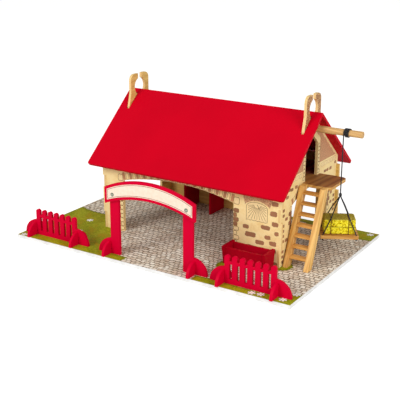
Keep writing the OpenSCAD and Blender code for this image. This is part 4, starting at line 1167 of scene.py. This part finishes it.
# %% Loose stalks on the bale
stalk_draw = np.random.default_rng(7)
STALKS, STEPS, LONG_FACES = 1500, 4, 3
stalk_at = stalk_draw.uniform(-1, 1, (STALKS, 3)) * BALE_HALF
stalk_face = stalk_draw.integers(0, 5, STALKS)
stalk_draw.random(STALKS)  # not used, but it keeps the later draws as they are
for face, (row, side) in enumerate([(1, -1), (1, 1), (2, 1), (0, -1), (0, 1)]):
    stalk_at[stalk_face == face, row] = side * BALE_HALF[row]
tilt = stalk_draw.normal(0, 0.6, STALKS)
rise, go = np.sin(tilt), np.cos(tilt)
on_long_face = coords(go, rise * (stalk_face == 2), rise * (stalk_face < 2))
stalk_run = np.where(stalk_face[:, None] < LONG_FACES, on_long_face, coords(0, go, rise))
half_length = stalk_draw.uniform(1.6, 4.6, (STALKS, 1, 1)) * MM
reach = np.linspace(-1, 1, STEPS)[None, :, None] * half_length
line = bale_surface(stalk_at[:, None] + stalk_run[:, None] * reach)
outward = (line - BALE_MID) / BALE_HALF
outward = unit(np.sign(outward) * np.abs(outward) ** 6)
line = line + outward * (0.10 * MM + 0.22 * MM * stalk_draw.random((STALKS, 1, 1)))
run = np.gradient(line, axis=1)
run /= np.maximum(np.linalg.norm(run, axis=-1, keepdims=True), 1e-9)
across = np.cross(outward, run) * 0.32 * MM
strip = np.stack([line - across, line + outward * 0.16 * MM, line + across], axis=2)
in_box = np.abs(strip - BALE_MID) < BALE_HALF + np.array([0.2, 0.3, 0.3]) * MM
strip = strip[in_box.all(axis=(1, 2, 3))]
first_corner = 3 * STEPS * np.arange(len(strip))[:, None, None]
stalk_faces = (grid_quads(STEPS, 3)[None] + first_corner).reshape(-1, 4)
stalks = link_mesh("hay_bale_stalks", on_tray(strip), stalk_faces.tolist(), smooth=True)
stalks.data.materials.append(straw.material)
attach(stalks, "bale")
print("stalks", len(strip))

# %% [markdown]
# Two brown twines hold the bale. A round ring would float off the bale's square corners, so
# each is a tube round the bale's own surface, which sinks in under it. One spiral in its
# finish gives it the twist of its strands.

# %% Twine round the bale
twine = Finish("twine", 0.75, gloss=0.1)
twist = twine.math("MULTIPLY_ADD", spiral(twine, 1, 1.6 * MM), 0.5, 0.5)
twine.colour(twine.ramp(twist, [(0.2, rgb(92, 58, 24)), (0.9, rgb(150, 104, 50))]))
twine.bump(twist, 0.6, 0.0003)
twine_angle = turns(160)
for name, side in (("bale_twine_left", -1), ("bale_twine_right", 1)):
    loop = bale_surface(coords(0.0, np.cos(twine_angle), 0.8 * np.sin(twine_angle)))
    loop[:, 0] = side * TWINE_U
    loop = loop + 0.15 * MM * unit(loop - BALE_MID - X * side * TWINE_U)
    loop[:, 2] = np.maximum(loop[:, 2], TRAY_TOP + 0.8 * MM)
    cord_round = tube(name, on_tray(loop), 0.75 * MM, sides=8, side=(*tray_way[0], 0.0),
                      closed=True)
    cord_round.data.materials.append(twine.material)
    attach(cord_round, "bale")
    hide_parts("bale_strings")
print("twine round the bale", round(path_length(loop), 4), "m")

# %% [markdown]
# The photograph stands on white. A white floor alone would come out grey in its own shade.
# This floor is plain and pale, and seen straight from the camera or in a reflection it adds
# a little light of its own, so it reads as white paper and still keeps the shadow.

# %% Floor
FLOOR_HALF, FLOOR_DROP = 6.0, 0.0002
floor_points = (SQUARE * 2 - 1) * FLOOR_HALF
floor = link_mesh("floor", coords(*floor_points.T, -FLOOR_DROP), [[0, 1, 2, 3]])
paper = Finish("floor_paper", 0.9, gloss=0.0)
paper.colour((0.75, 0.75, 0.75, 1))
rays = paper.node("LightPath").outputs
seen = paper.math("MAXIMUM", rays["Is Camera Ray"], rays["Is Glossy Ray"])
seen = paper.math("MAXIMUM", seen, rays["Is Transmission Ray"])
plain, glow = paper.shader.outputs[0], paper.node("Emission", {"Strength": 0.62}).outputs[0]
lit = paper.node("AddShader", {0: plain, 1: glow}).outputs[0]
paper.set(paper.tree.nodes["Material Output"].inputs["Surface"],
          paper.node("MixShader", {0: seen, 1: plain, 2: lit}).outputs[0])
floor.data.materials.append(paper.material)
print("floor side", 2 * FLOOR_HALF, "m")

# %% [markdown]
# Light comes from an even pale sky, one broad lamp high at the camera's left, and a weaker
# one at the right that keeps the gable from going dull. A sun lamp would cut hard shadows,
# which the photograph doesn't have. The camera itself sees plain white in place of the sky.

# %% World and lamps
world = bpy.data.worlds.new("studio")
world.use_nodes = True
sky = Network(world.node_tree)
even = sky.tree.nodes["Background"]
sky.set(even.inputs["Color"], (1.0, 0.985, 0.96, 1))
sky.set(even.inputs["Strength"], 0.5)
white = sky.node("Background", {"Color": (1, 1, 1, 1)}).outputs[0]
seen = sky.node("LightPath").outputs["Is Camera Ray"]
sky.set(sky.tree.nodes["World Output"].inputs["Surface"],
        sky.node("MixShader", {0: seen, 1: even.outputs[0], 2: white}).outputs[0])
bpy.context.scene.world = world


def lamp(name, place, aim, size, power):
    """A square area lamp at a place, turned to look at a point."""
    data = bpy.data.lights.new(name, "AREA")
    data.size, data.energy = size, power
    made = bpy.data.objects.new(name, data)
    made.location = place
    x, y, z = np.asarray(aim, float) - np.asarray(place, float)
    made.rotation_euler = (math.atan2(math.hypot(x, y), -z), 0.0, math.atan2(y, x) - math.pi / 2)
    bpy.context.scene.collection.objects.link(made)
    print(name, power, "W")


lamp("key_lamp", (-0.9, -2.6, 1.7), (0, 0, 0.1), 1.2, 47)
lamp("side_lamp", (2.4, -1.0, 1.2), (0.1, 0, 0.1), 1.2, 31)
